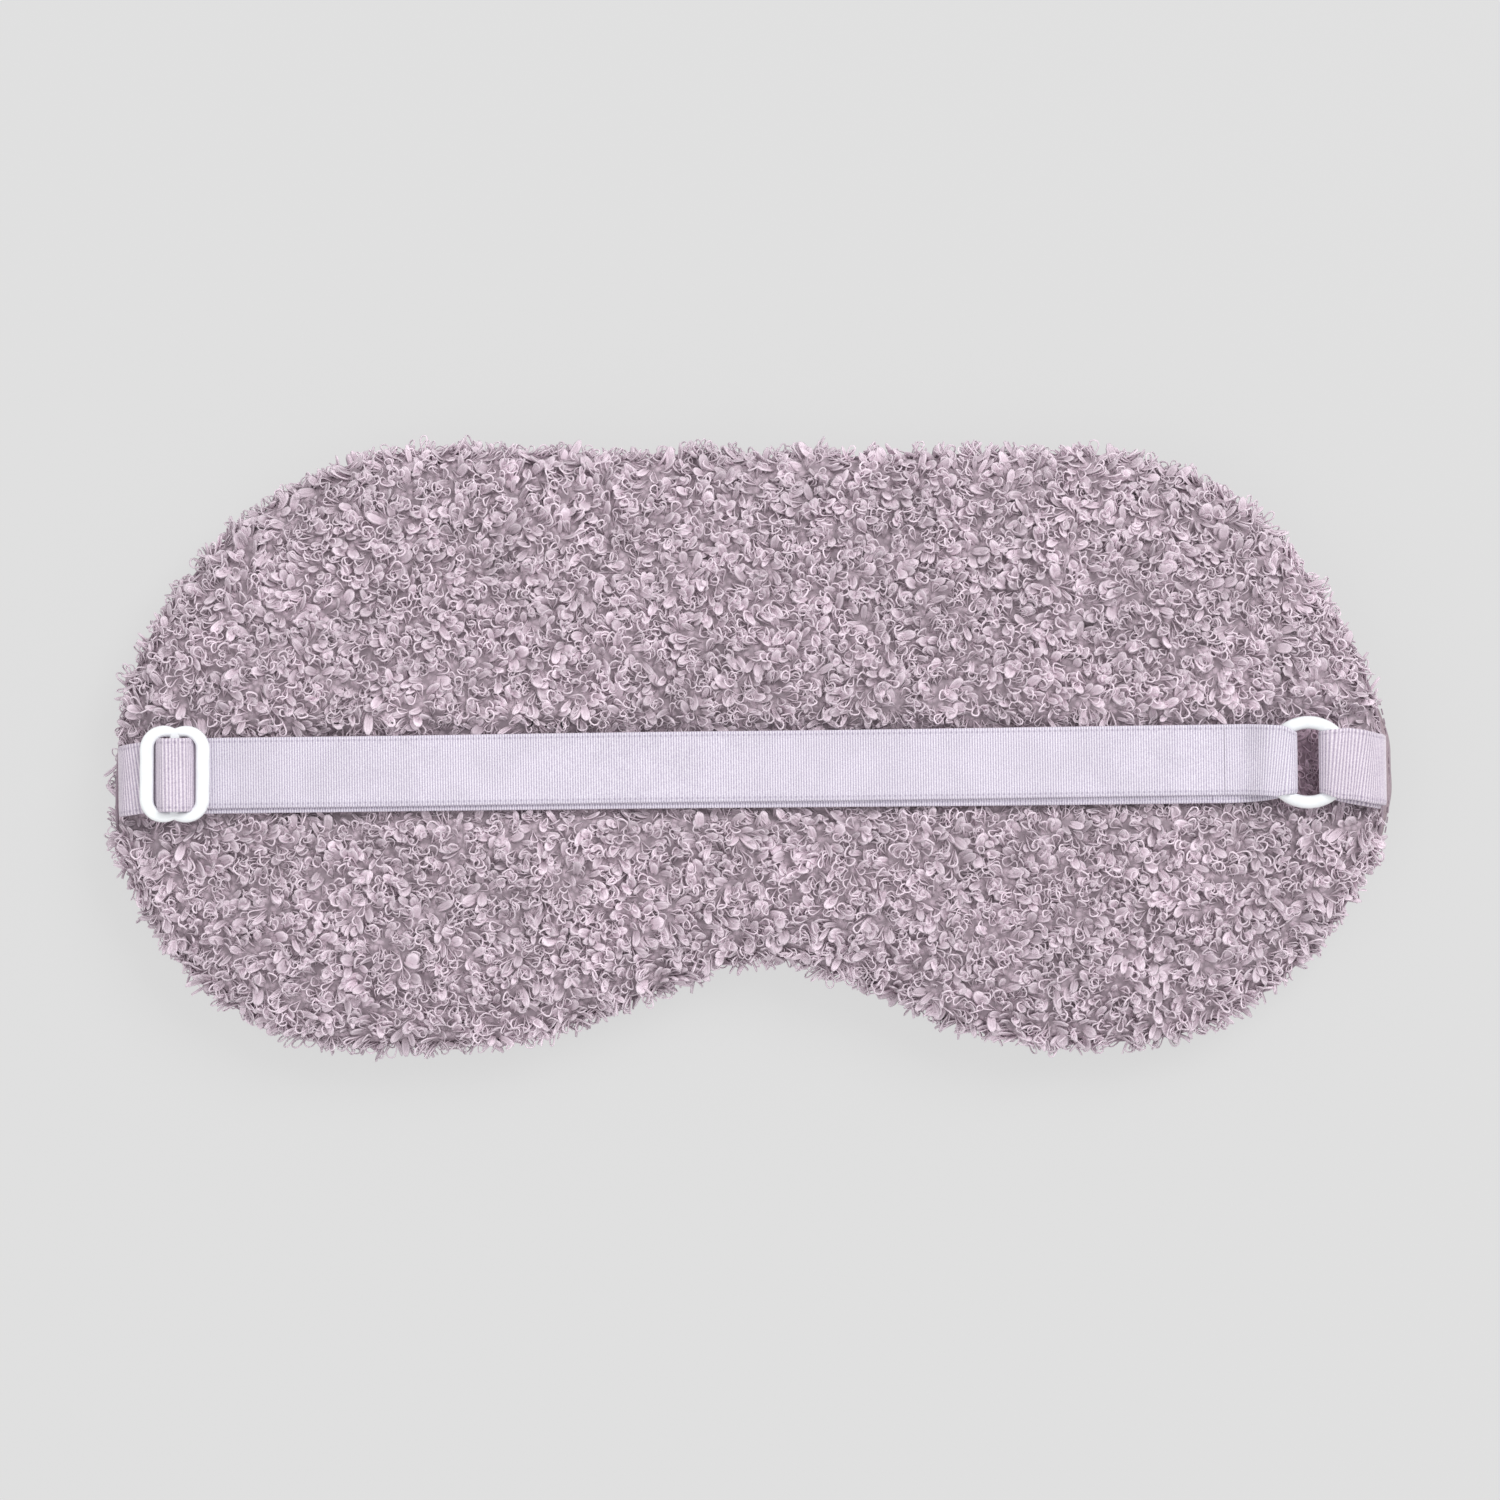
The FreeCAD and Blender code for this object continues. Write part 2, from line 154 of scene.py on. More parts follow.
def colour_property(name, description, *rgb):
    return FloatVectorProperty(name=name, description=description, subtype="COLOR", size=4, default=linear(*rgb))


class MaskCoverSizes(bpy.types.PropertyGroup):
    cloth_inset: FloatProperty(name="Cloth inset", default=2.3, min=0.5,
                               description="Depth of the cloth under the tips of its loops (mm)")
    edge_inset: FloatProperty(name="Edge inset", default=1.3, min=0.3,
                              description="Distance of the seam inside the tips of the pile (mm)")
    edge_round: FloatProperty(name="Edge round", description="How far in from the seam the cover curves (mm)",
                              default=15.0, min=4)
    undulation: FloatProperty(name="Undulation", default=0.7, min=0,
                              description="Height of the wadding's slow hills (mm)")
    valley: FloatProperty(name="Valley", default=1.7, min=0,
                          description="Depth to which the strap presses the cloth (mm)")
    voxel: FloatProperty(name="Cloth mesh", description="Size of the cloth's mesh (mm)", default=3.0, min=2)


class MaskPileSizes(bpy.types.PropertyGroup):
    spacing: FloatProperty(name="Loop spacing", default=0.95, min=0.8,
                           description="Least distance between loops (mm)")
    front_spacing: FloatProperty(name="Front spacing", default=1.3, min=0.8,
                                 description="Least distance between loops in front (mm)")
    loop_scale: FloatProperty(name="Loop scale", default=0.9, min=0.3,
                              description="Size of the loops, 1 at their full size")
    yarn: FloatProperty(name="Yarn", description="Thickness of the pile's yarn (mm)", default=0.34, min=0.1)
    lean: FloatProperty(name="Lean", description="How far the loops lean over", default=math.radians(60),
                        subtype="ANGLE")
    clump: FloatProperty(name="Clump", default=8.0, min=1,
                         description="Size of a clump that leans one way (mm)")
    seed: IntProperty(name="Seed", description="Start of the scatter's random numbers", default=7)
    tip: colour_property("Tip colour", "Colour of the loops' tips", 248, 232, 243)
    # the root colour is painted shade: the loops darken towards it at their feet, deep in the pile
    root: colour_property("Root colour", "Colour deep in the pile", 224, 205, 217)


class MaskStrapSizes(bpy.types.PropertyGroup):
    rib_pitch: FloatProperty(name="Rib pitch", default=0.44, min=0.2, description="Distance from rib to rib (mm)")
    slack_pitch: FloatProperty(name="Slack rib pitch", default=0.56, min=0.2,
                               description="Rib pitch where the elastic isn't stretched (mm)")
    rib_depth: FloatProperty(name="Rib depth", description="Height of a rib (mm)", default=0.12, min=0)
    colour: colour_property("Elastic", "Colour of the elastic", 249, 245, 252)
    shade: colour_property("Elastic shade", "Colour between the ribs", 168, 155, 182)


class MaskFinishColours(bpy.types.PropertyGroup):
    coating: colour_property("Coating", "Colour of the slider and ring", 246, 249, 251)
    lining: colour_property("Lining", "Colour of the blackout sheet", 48, 46, 52)
    wadding: colour_property("Wadding", "Colour of the wadding", 236, 235, 232)
    welt: colour_property("Welt", "Colour of the smooth edge", 176, 158, 166)
    floor: colour_property("Floor", "Colour of the floor", 224, 224, 224)


# ---- node helpers ----
def plug(tree, socket, value):
    """Links a socket to another node's output, or sets it."""
    if isinstance(value, bpy.types.NodeSocket):
        tree.links.new(value, socket)
    else:
        socket.default_value = value


def put(tree, kind, settings=None, **inputs):
    """Adds a node with its settings and its inputs, which are named as on the node."""
    node = tree.nodes.new(kind)
    for name, value in (settings or {}).items():
        setattr(node, name, value)
    for name, value in inputs.items():
        plug(tree, node.inputs[name.replace("_", " ")], value)
    return node


def calc(tree, operation, *values, clamp=False):
    node = tree.nodes.new("ShaderNodeMath")
    node.operation, node.use_clamp = operation, clamp
    for socket, value in zip(node.inputs, values):
        plug(tree, socket, value)
    return node.outputs[0]


def vector(tree, operation, *values):
    node = tree.nodes.new("ShaderNodeVectorMath")
    node.operation = operation
    for socket, value in zip(node.inputs, values):
        plug(tree, socket, value)
    return node.outputs["Value" if operation in ("DOT_PRODUCT", "LENGTH") else "Vector"]


def scaled(tree, direction, factor):
    node = put(tree, "ShaderNodeVectorMath", {"operation": "SCALE"}, Vector=direction, Scale=factor)
    return node.outputs[0]


def between(tree, value, low, high, out_low=0.0, out_high=1.0):
    """Maps a range of values smoothly to another range, and holds its ends."""
    node = put(tree, "ShaderNodeMapRange", {"interpolation_type": "SMOOTHSTEP"}, Value=value)
    for name, number in (("From Min", low), ("From Max", high), ("To Min", out_low), ("To Max", out_high)):
        plug(tree, node.inputs[name], number)
    return node.outputs[0]


def blend_colour(tree, factor, first, second, kind="MIX"):
    node = put(tree, "ShaderNodeMix", {"data_type": "RGBA", "blend_type": kind})
    plug(tree, node.inputs[0], factor)
    plug(tree, node.inputs[6], first)
    plug(tree, node.inputs[7], second)
    return node.outputs[2]


def attribute(tree, name):
    return put(tree, "ShaderNodeAttribute", {"attribute_name": name}).outputs["Fac"]


def object_place(tree, scale=1000.0):
    """Object coordinates in millimetres."""
    place = put(tree, "ShaderNodeTexCoord").outputs["Object"]
    return scaled(tree, place, scale)


def new_group(name, kind, inputs, outputs):
    """An empty node group with named sockets, and its input and output nodes."""
    group = bpy.data.node_groups.new(name, kind)
    for label, socket, default in inputs:
        made = group.interface.new_socket(label, in_out="INPUT", socket_type="NodeSocket" + socket)
        if default is not None:
            made.default_value = default
    for label, socket in outputs:
        group.interface.new_socket(label, in_out="OUTPUT", socket_type="NodeSocket" + socket)
    return group, group.nodes.new("NodeGroupInput").outputs, group.nodes.new("NodeGroupOutput").inputs


def yarn_grain():
    """Fine fibres and slow shade changes, shared by all that is spun or woven."""
    if "Yarn grain" in bpy.data.node_groups:
        return bpy.data.node_groups["Yarn grain"]
    group, given, out = new_group(
        "Yarn grain", "ShaderNodeTree",
        [("Fibre Size", "Float", 0.15), ("Patch Size", "Float", 18.0)],
        [("Fibre", "Float"), ("Patch", "Float")])
    place = object_place(group)
    for size, label, detail in (("Fibre Size", "Fibre", 3.0), ("Patch Size", "Patch", 2.0)):
        scale = calc(group, "DIVIDE", 1.0, given[size])
        grain = put(group, "ShaderNodeTexNoise", Vector=place, Scale=scale, Detail=detail, Roughness=0.6)
        plug(group, out[label], between(group, grain.outputs["Fac"], 0.3, 0.7))
    return group


def new_material(name):
    """A material with a Principled surface, and that surface's node."""
    material = bpy.data.materials.new(name)
    material.use_nodes = True
    return material, material.node_tree, material.node_tree.nodes["Principled BSDF"]


def grain_node(tree, fibre, patch):
    node = tree.nodes.new("ShaderNodeGroup")
    node.node_tree = yarn_grain()
    node.inputs["Fibre Size"].default_value = fibre
    node.inputs["Patch Size"].default_value = patch
    return node.outputs["Fibre"], node.outputs["Patch"]


def bump(tree, surface, height, distance, strength=0.6):
    """Feeds a height to the surface as a bump this deep, in millimetres."""
    node = put(tree, "ShaderNodeBump", Height=height, Distance=distance * MM, Strength=strength)
    tree.links.new(node.outputs[0], surface.inputs["Normal"])


def painted_ring_shade(tree, colour):
    """Painted shade: darker in and round the ring's hole, where the ring and the strap shade the loops."""
    return blend_colour(tree, attribute(tree, "matted"), colour, (0.78, 0.68, 0.74, 1.0), "MULTIPLY")


def terry_material(name, tip, root):
    """Cotton loops with a soft sheen and painted light: painted shade darkens them towards their feet and in the
    grooves of their yarn, and painted highlight lightens their tips and raised rims.
    """
    material, tree, surface = new_material(name)
    fibre, patch = grain_node(tree, 0.12, 16.0)
    # painted shade and highlight: the colour runs from the shaded root colour at the feet to the tip colour, and
    # goes further on the rims and ridges of the yarn
    height = between(tree, attribute(tree, "along"), 0.0, 0.8)
    groove = calc(tree, "COSINE", calc(tree, "MULTIPLY", attribute(tree, "strand"), 2.5 * math.pi))
    strand = calc(tree, "MULTIPLY_ADD", groove, 0.5, 0.5)
    yarn = calc(tree, "MULTIPLY_ADD", attribute(tree, "rim"), 0.35, 0.3)
    yarn = calc(tree, "MULTIPLY_ADD", strand, 0.35, yarn)
    colour = blend_colour(tree, calc(tree, "MULTIPLY", height, yarn), tuple(root), tuple(tip))
    tuft = between(tree, attribute(tree, "tuft"), 0.0, 1.0, 0.84, 1.1)
    shade = calc(tree, "MULTIPLY", tuft, between(tree, patch, 0.0, 1.0, 0.94, 1.05))
    shade = calc(tree, "MULTIPLY", shade, between(tree, fibre, 0.0, 1.0, 0.92, 1.05))
    plug(tree, surface.inputs["Base Color"], painted_ring_shade(tree, scaled(tree, colour, shade)))
    surface.inputs["Roughness"].default_value = 0.9
    surface.inputs["Sheen Weight"].default_value = 0.3
    surface.inputs["Sheen Roughness"].default_value = 0.5
    surface.inputs["Specular IOR Level"].default_value = 0.15
    bump(tree, surface, calc(tree, "MULTIPLY_ADD", strand, 3.0, fibre), 0.05)
    return material


def cloth_material(name, colour, fibre_size=0.3, sheen=0.1, contrast=0.25):
    """Plain knitted or felted cloth, with fibres and a slow change of shade."""
    material, tree, surface = new_material(name)
    fibre, patch = grain_node(tree, fibre_size, 12.0)
    dark = darker(colour, 1 - contrast)
    mixed = calc(tree, "ADD", calc(tree, "MULTIPLY", fibre, 0.7), calc(tree, "MULTIPLY", patch, 0.3))
    plug(tree, surface.inputs["Base Color"], blend_colour(tree, mixed, dark, tuple(colour)))
    plug(tree, surface.inputs["Roughness"], between(tree, fibre, 0.0, 1.0, 0.95, 0.8))
    surface.inputs["Sheen Weight"].default_value = sheen
    surface.inputs["Specular IOR Level"].default_value = 0.15
    bump(tree, surface, mixed, 0.1)
    return material


def ground_material(name, colour):
    """The pile's ground: short loops that fill the gaps between the tall ones, with painted shade between them.
    """
    material, tree, surface = new_material(name)
    fibre, patch = grain_node(tree, 0.2, 16.0)
    knots = put(tree, "ShaderNodeTexVoronoi", {"feature": "F1"}, Vector=object_place(tree), Scale=0.85)
    # painted shade: the ground darkens to 45% of its colour between its short loops, with painted shade round the
    # ring's hole as well
    mound = between(tree, knots.outputs["Distance"], 0.75, 0.1)
    dark = darker(colour, 0.45)
    mixed = calc(tree, "MULTIPLY", mound, calc(tree, "MULTIPLY_ADD", fibre, 0.3, 0.7))
    plug(tree, surface.inputs["Base Color"], painted_ring_shade(tree, blend_colour(tree, mixed, dark, tuple(colour))))
    plug(tree, surface.inputs["Roughness"], between(tree, patch, 0.0, 1.0, 0.95, 0.85))
    surface.inputs["Specular IOR Level"].default_value = 0.1
    bump(tree, surface, mixed, 0.6)
    return material


def tinted(colour, share):
    """A colour made warmer, and darker by this share."""
    return tuple(c * t * share for c, t in zip(colour, (1.04, 0.99, 1.0))) + (1.0,)


def elastic_material(name, colour, shade, pitch):
    """Ribbed elastic: each rib's yarn lies across it, and the selvedge has a line of small dots."""
    material, tree, surface = new_material(name)
    fibre, patch = grain_node(tree, 0.22, 9.0)
    along, across = attribute(tree, "along"), attribute(tree, "across")
    turns = calc(tree, "MULTIPLY", calc(tree, "DIVIDE", along, pitch), math.tau)
    rib = calc(tree, "MULTIPLY_ADD", calc(tree, "COSINE", turns), -0.5, 0.5)
    dots = calc(tree, "MULTIPLY_ADD", calc(tree, "COSINE", calc(tree, "MULTIPLY", turns, 0.5)), 0.5, 0.5)
    side = calc(tree, "ABSOLUTE", across)
    line = calc(tree, "MULTIPLY", between(tree, side, 0.84, 0.87), between(tree, side, 0.93, 0.90))
    picot = calc(tree, "MULTIPLY", line, dots)
    # painted shade in the rib valleys: the colour runs from the shade colour between the ribs to the elastic
    # colour on their crests
    lift = calc(tree, "ADD", calc(tree, "MULTIPLY", rib, 0.65), calc(tree, "MULTIPLY", fibre, 0.35))
    base = blend_colour(tree, lift, tuple(shade), tuple(colour))
    dot = darker(shade, 0.72)
    base = blend_colour(tree, calc(tree, "MULTIPLY", picot, 0.5), base, dot)
    # the first 18 to 60 mm along each piece are made up to 6% darker, most at the start
    darker_at_start = between(tree, along, 18.0, 60.0, 0.94, 1.0)
    tone = calc(tree, "MULTIPLY", between(tree, patch, 0.0, 1.0, 0.97, 1.03), darker_at_start)
    plug(tree, surface.inputs["Base Color"], scaled(tree, base, tone))
    plug(tree, surface.inputs["Roughness"], between(tree, rib, 0.0, 1.0, 0.75, 0.5))
    surface.inputs["Sheen Weight"].default_value = 0.15
    surface.inputs["Specular IOR Level"].default_value = 0.35
    bump(tree, surface, calc(tree, "SUBTRACT", fibre, calc(tree, "MULTIPLY", picot, 1.5)), 0.04)
    return material


def coated_material(name, colour):
    """Metal with a thick gloss coating, slightly uneven as a dipped coat is."""
    material, tree, surface = new_material(name)
    place = object_place(tree)
    orange = put(tree, "ShaderNodeTexNoise", Vector=place, Scale=1.6, Detail=2.0).outputs["Fac"]
    worn = put(tree, "ShaderNodeTexNoise", Vector=place, Scale=0.45, Detail=4.0).outputs["Fac"]
    shine = between(tree, worn, 0.35, 0.6)
    plug(tree, surface.inputs["Base Color"], blend_colour(tree, shine, darker(colour, 0.93), tuple(colour)))
    plug(tree, surface.inputs["Roughness"], between(tree, worn, 0.3, 0.7, 0.34, 0.22))
    surface.inputs["Coat Weight"].default_value = 0.5
    surface.inputs["Coat Roughness"].default_value = 0.12
    bump(tree, surface, orange, 0.05, strength=0.3)
    return material


def floor_material(colour):
    material, tree, surface = new_material("paper_floor")
    grain = put(tree, "ShaderNodeTexNoise", Vector=object_place(tree, 1.0), Scale=900.0, Detail=2.0)
    plug(tree, surface.inputs["Roughness"], between(tree, grain.outputs["Fac"], 0.3, 0.7, 0.9, 0.98))
    surface.inputs["Base Color"].default_value = darker(colour, 0.15)
    surface.inputs["Specular IOR Level"].default_value = 0.0
    surface.inputs["Emission Color"].default_value = tuple(colour)
    surface.inputs["Emission Strength"].default_value = 0.825
    return material


# ---- mesh helpers ----
def new_object(name, verts, faces, smooth=True):
    """A mesh object in the scene, from points in metres."""
    mesh = bpy.data.meshes.new(name)
    mesh.from_pydata([tuple(v) for v in verts], [], [tuple(f) for f in faces])
    mesh.validate()
    if smooth:
        mesh.shade_smooth()
    made = bpy.data.objects.new(name, mesh)
    bpy.context.scene.collection.objects.link(made)
    return made


def face_outward(obj):
    """Turns a closed mesh's faces outward."""
    bm = bmesh.new()
    bm.from_mesh(obj.data)
    bmesh.ops.recalc_face_normals(bm, faces=bm.faces)
    bm.to_mesh(obj.data)
    bm.free()
    return obj


def points_of(obj):
    co = np.empty(len(obj.data.vertices) * 3)
    obj.data.vertices.foreach_get("co", co)
    return co.reshape(-1, 3)


def set_points(obj, points):
    obj.data.vertices.foreach_set("co", np.asarray(points, float).ravel())
    obj.data.update()


def mark(obj, name, values):
    """Stores a number for each point of the mesh."""
    made = obj.data.attributes.new(name, "FLOAT", "POINT")
    made.data.foreach_set("value", np.asarray(values, np.float32))


def finished(obj, name):
    """A new object that holds obj's evaluated mesh; obj itself is removed."""
    depsgraph = bpy.context.evaluated_depsgraph_get()
    mesh = bpy.data.meshes.new_from_object(obj.evaluated_get(depsgraph), preserve_all_data_layers=True,
                                           depsgraph=depsgraph)
    bpy.data.objects.remove(obj)
    mesh.name = name
    made = bpy.data.objects.new(name, mesh)
    bpy.context.scene.collection.objects.link(made)
    return made


def copy_of(obj, name):
    made = bpy.data.objects.new(name, obj.data.copy())
    bpy.context.scene.collection.objects.link(made)
    return made


def use_material(obj, material):
    obj.data.materials.clear()
    obj.data.materials.append(material)


def set_inputs(modifier, **values):
    """Sets a Geometry Nodes modifier's inputs, by the names that they show."""
    for item in modifier.node_group.interface.items_tree:
        key = item.name.replace(" ", "_")
        if item.in_out == "INPUT" and key in values:
            modifier[item.identifier] = values.pop(key)
    if values:
        raise ValueError(f"no input is named {sorted(values)}")


def with_nodes(obj, group, **values):
    modifier = obj.modifiers.new(group.name, "NODES")
    modifier.node_group = group
    set_inputs(modifier, **values)
    return obj


def end_tree(group, geometry, material, out):
    """Every tree ends in real geometry with its material."""
    real = put(group, "GeometryNodeRealizeInstances", Geometry=geometry)
    last = put(group, "GeometryNodeSetMaterial", Geometry=real.outputs[0], Material=material)
    plug(group, out["Geometry"], last.outputs[0])


# ---- the padded covers ----
def mask_edge(count=300):
    """The mask's edge just under its seam, read from the frame, in millimetres."""
    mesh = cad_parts["front_cover"].data
    shape = BVHTree.FromPolygons([v.co for v in mesh.vertices], [tuple(p.vertices) for p in mesh.polygons])
    edge, reach = [], 0.2
    for i in range(count):
        angle = math.tau * i / count
        way = Vector((math.cos(angle), math.sin(angle), 0))
        start = way * reach + Vector((0, 0, (SEAM_Z - 1.4) * MM))
        hit = shape.ray_cast(start, -way)[0]
        if hit is None:
            raise RuntimeError("the front cover has a gap in its edge")
        edge.append((hit.x / MM, hit.y / MM))
    return np.array(edge)


def moved_in(edge, distance):
    """The edge moved inwards."""
    run = np.roll(edge, -1, 0) - np.roll(edge, 1, 0)
    run /= np.linalg.norm(run, axis=1)[:, None]
    return edge + np.stack([-run[:, 1], run[:, 0]], 1) * distance


def uneven(edge):
    """The edge as sewn and stuffed: the ends and the brow a little fuller, one lobe a little tighter."""
    near = 16.0
    shift = np.zeros(len(edge))
    for x, y, amount in ((-80.0, 45.0, 0.5), (-50.0, 50.0, 1.3), (42.0, 50.0, 0.6), (80.0, 45.0, 1.3),
                         (-104.0, 18.0, 1.3), (-106.0, -20.0, 1.4), (106.0, 0.0, 1.0), (92.0, -40.0, -1.6),
                         (-90.0, -44.0, 0.9), (22.0, -42.0, -1.5), (-12.0, -39.0, 1.1)):
        shift += amount * np.exp(-((edge - np.array((x, y))) ** 2).sum(1) / (2 * near ** 2))
    return moved_in(edge, -shift[:, None])


def edge_distance(points, edge):
    """How far each point is from the edge, in plan."""
    best = np.full(len(points), 1e9)
    for a, b in zip(edge, np.roll(edge, -1, 0)):
        run = b - a
        t = np.clip((points - a) @ run / (run @ run), 0, 1)
        best = np.minimum(best, np.linalg.norm(points - a - t[:, None] * run, axis=1))
    return best


def swell(distance, edge_round):
    """Share of the full thickness at this distance from the seam."""
    power = 2.3
    share = np.clip(distance / edge_round, 0, 1)
    return (1 - (1 - share) ** power) ** (1 / power)


def cushion(name, edge, rise, edge_round, rings=22):
    """A closed cushion with this edge, and this high above and under the seam."""
    count = len(edge)
    levels = [1 - (k / rings) ** 1.25 for k in range(rings)]
    plan = np.concatenate([edge * s for s in levels] + [np.zeros((1, 2))])
    high = rise * swell(edge_distance(plan, edge), edge_round)
    high[:count] = 0
    top = np.column_stack([plan, SEAM_Z + high])
    bottom = np.column_stack([plan, SEAM_Z - high])[count:]
    verts = np.concatenate([top, bottom]) * MM
    under = len(plan) - count
    faces = []
    for k in range(rings):
        for i in range(count):
            j = (i + 1) % count
            a, b = k * count + i, k * count + j
            if k == rings - 1:
                centre = rings * count
                faces += [(a, b, centre), (b + under if k else b, a + under if k else a, centre + under)]
                continue
            c, d = a + count, b + count
            faces.append((a, b, d, c))
            low_a, low_b = (a + under, b + under) if k else (a, b)
            faces.append((low_b, low_a, c + under, d + under))
    return new_object(name, verts, faces)


def match_edge(obj, edge, sectors=120):
    """Brings the cushion's outermost points back to the edge, because an even mesh rounds it off."""
    points = points_of(obj)
    angle = np.arctan2(points[:, 1], points[:, 0])
    reach = np.hypot(points[:, 0], points[:, 1])
    around = np.arctan2(edge[:, 1], edge[:, 0])
    goal = np.interp(angle, np.sort(around), np.hypot(*edge[np.argsort(around)].T) * MM, period=math.tau)
    widest = np.zeros(sectors)
    np.maximum.at(widest, ((angle + math.pi) / math.tau * sectors).astype(int) % sectors, reach / goal)
    centres = (np.arange(sectors) + 0.5) / sectors * math.tau - math.pi
    found = widest > 0.93
    share = np.interp(angle, centres[found], widest[found], period=math.tau)
    close = np.clip(reach / (share * goal), 0, 1) ** 4
    points[:, :2] *= (1 + (1 / share - 1) * close)[:, None]
    set_points(obj, points)


def puff_up(obj, voxel, edge, cap):
    """Blows the cushion up as its wadding does, with the seam held, and caps how far it moves."""
    remesh = obj.modifiers.new("even mesh", "REMESH")
    remesh.mode, remesh.voxel_size = "VOXEL", voxel * MM
    name = obj.name
    obj.name = "rough"
    obj = finished(obj, name)
    before = points_of(obj)
    seam = obj.vertex_groups.new(name="seam")
    near = edge_distance(before[:, :2] / MM, edge) < voxel * 0.75
    seam.add([int(i) for i in np.flatnonzero(near)], 1.0, "REPLACE")
    cloth = obj.modifiers.new("cloth", "CLOTH")
    cloth.settings.use_pressure = True
    cloth.settings.uniform_pressure_force = 4.0
    cloth.settings.vertex_group_mass = "seam"
    cloth.settings.effector_weights.gravity = 0
    scene = bpy.context.scene
    for i in range(1, 21):
        scene.frame_set(i)
    obj.name = "blown"
    obj = finished(obj, name)
    scene.frame_set(1)
    after = points_of(obj)
    move = after - before
    length = np.maximum(np.linalg.norm(move, axis=1), 1e-9)
    set_points(obj, before + move * np.minimum(1, cap * MM / length)[:, None])
    match_edge(obj, edge)
    smooth = obj.modifiers.new("smooth", "SUBSURF")
    smooth.levels = smooth.render_levels = 1
    obj.name = "coarse"
    return finished(obj, name)


def press(v, half):
    """From 1 under a strap of this half width to 0 well beside it."""
    share = np.clip((np.abs(v) - half) / 4.0, 0, 1)
    return 1 - share * share * (3 - 2 * share)


def shape_cushion(obj, sizes):
    """Adds the wadding's slow hills and the valley that the strap presses."""
    points = points_of(obj)
    u, v = strap_uv(points)
    above = np.clip((points[:, 2] / MM - SEAM_Z) / 4.0, -1, 1)
    hills = np.array([noise.noise(Vector((p[0], p[1], 0.01 * s)) * 34.0)
                      for p, s in zip(points, np.sign(above))])
    points[:, 2] += hills * above * sizes.undulation * MM
    valley = press(v - RING_V, ELASTIC_WIDTH / 2 + 0.6) * sizes.valley
    points[:, 2] -= np.clip(above, 0, 1) * valley * MM
    set_points(obj, points)


def half_of(obj, name, above):
    """The part of the cushion above or under the seam, as an open shell."""
    made = copy_of(obj, name)
    bm = bmesh.new()
    bm.from_mesh(made.data)
    geometry = bm.verts[:] + bm.edges[:] + bm.faces[:]
    bmesh.ops.bisect_plane(bm, geom=geometry, dist=1e-7, plane_co=(0, 0, SEAM_Z * MM), plane_no=(0, 0, 1),
                           clear_inner=above, clear_outer=not above)
    bm.to_mesh(made.data)
    bm.free()
    return made


def walled(obj, thickness):
    """Gives an open shell its cloth's thickness, inwards."""
    wall = obj.modifiers.new("wall", "SOLIDIFY")
    wall.thickness, wall.offset = thickness * MM, -1
    name = obj.name
    obj.name = "shell"
    return finished(obj, name)


# ---- the pile ----
SHADES = 12   # different tones of loop
FOOT = 0.15   # how deep a loop's foot is in the cloth
FLOOR_GAP = 0.06   # clearance of the lowest loops over the floor


def tube(path, radius, sides):
    """Verts, faces, and the rim and strand marks of each vert (0.75 and 0 all along), of a yarn along an open
    path.
    """
    path = np.array(path, float)
    count = len(path)
    way = np.gradient(path, axis=0)
    way /= np.linalg.norm(way, axis=1)[:, None]
    out = np.array([0.0, 1.0, 0.0])
    verts, faces = [], []
    for p, t in zip(path, way):
        side = np.cross(t, out)
        side /= np.linalg.norm(side)
        up = np.cross(side, t)
        for k in range(sides):
            angle = math.tau * k / sides
            verts.append(p + radius * (side * math.cos(angle) + up * math.sin(angle)))
    for i in range(count - 1):
        for k in range(sides):
            a, b = i * sides + k, i * sides + (k + 1) % sides
            faces.append((a, b, b + sides, a + sides))
    faces.append(tuple(range(sides))[::-1])
    faces.append(tuple((count - 1) * sides + k for k in range(sides)))
    return verts, faces, [0.75] * len(verts), [0.0] * len(verts)


def loop_path(length, width, twist, curl, steps=10):
    """A teardrop of yarn that leaves the cloth and comes back to it."""
    path = []
    for i in range(steps + 1):
        t = i / steps
        up = math.sin(math.pi * t)
        x = width / 2 * math.sin(math.tau * t) * -(0.45 + 0.55 * up)
        z = length * up ** 0.8
        y = twist * math.sin(math.tau * t) + curl * (z / length) ** 2
        path.append((x, y, z - FOOT))
    return path


def petal(length, width, yarn, curl, steps=5):
    """A loop pulled flat: a closed leaf with its yarn raised round a sunken middle."""
    section = [(-1.0, 0.0), (-0.62, 0.5), (0.0, -0.35), (0.62, 0.5), (1.0, 0.0), (0.0, -0.75)]
    verts, faces, rims, sides_at = [], [], [], []
    for i in range(steps + 1):
        t = i / steps
        half = width / 2 * (0.3 + 0.7 * math.sin(math.pi * (0.12 + 0.76 * t)) ** 0.8)
        if i == steps:
            half *= 0.55
        for k, (x, y) in enumerate(section):
            closing = i >= steps - 1 and k == 2
            rims.append(1.0 if k in (0, 1, 3, 4) or closing else 0.0)
            rise = 0.4 if closing else y
            sides_at.append(0.0 if k == 5 else x)
            verts.append((half * x, yarn * rise + curl * t * t, length * t - FOOT))
    sides = len(section)
    for i in range(steps):
        for k in range(sides):
            a, b = i * sides + k, i * sides + (k + 1) % sides
            faces.append((a, a + sides, b + sides, b))
    faces.append(tuple(range(sides)))
    faces.append(tuple(steps * sides + k for k in range(sides))[::-1])
    return verts, faces, rims, sides_at


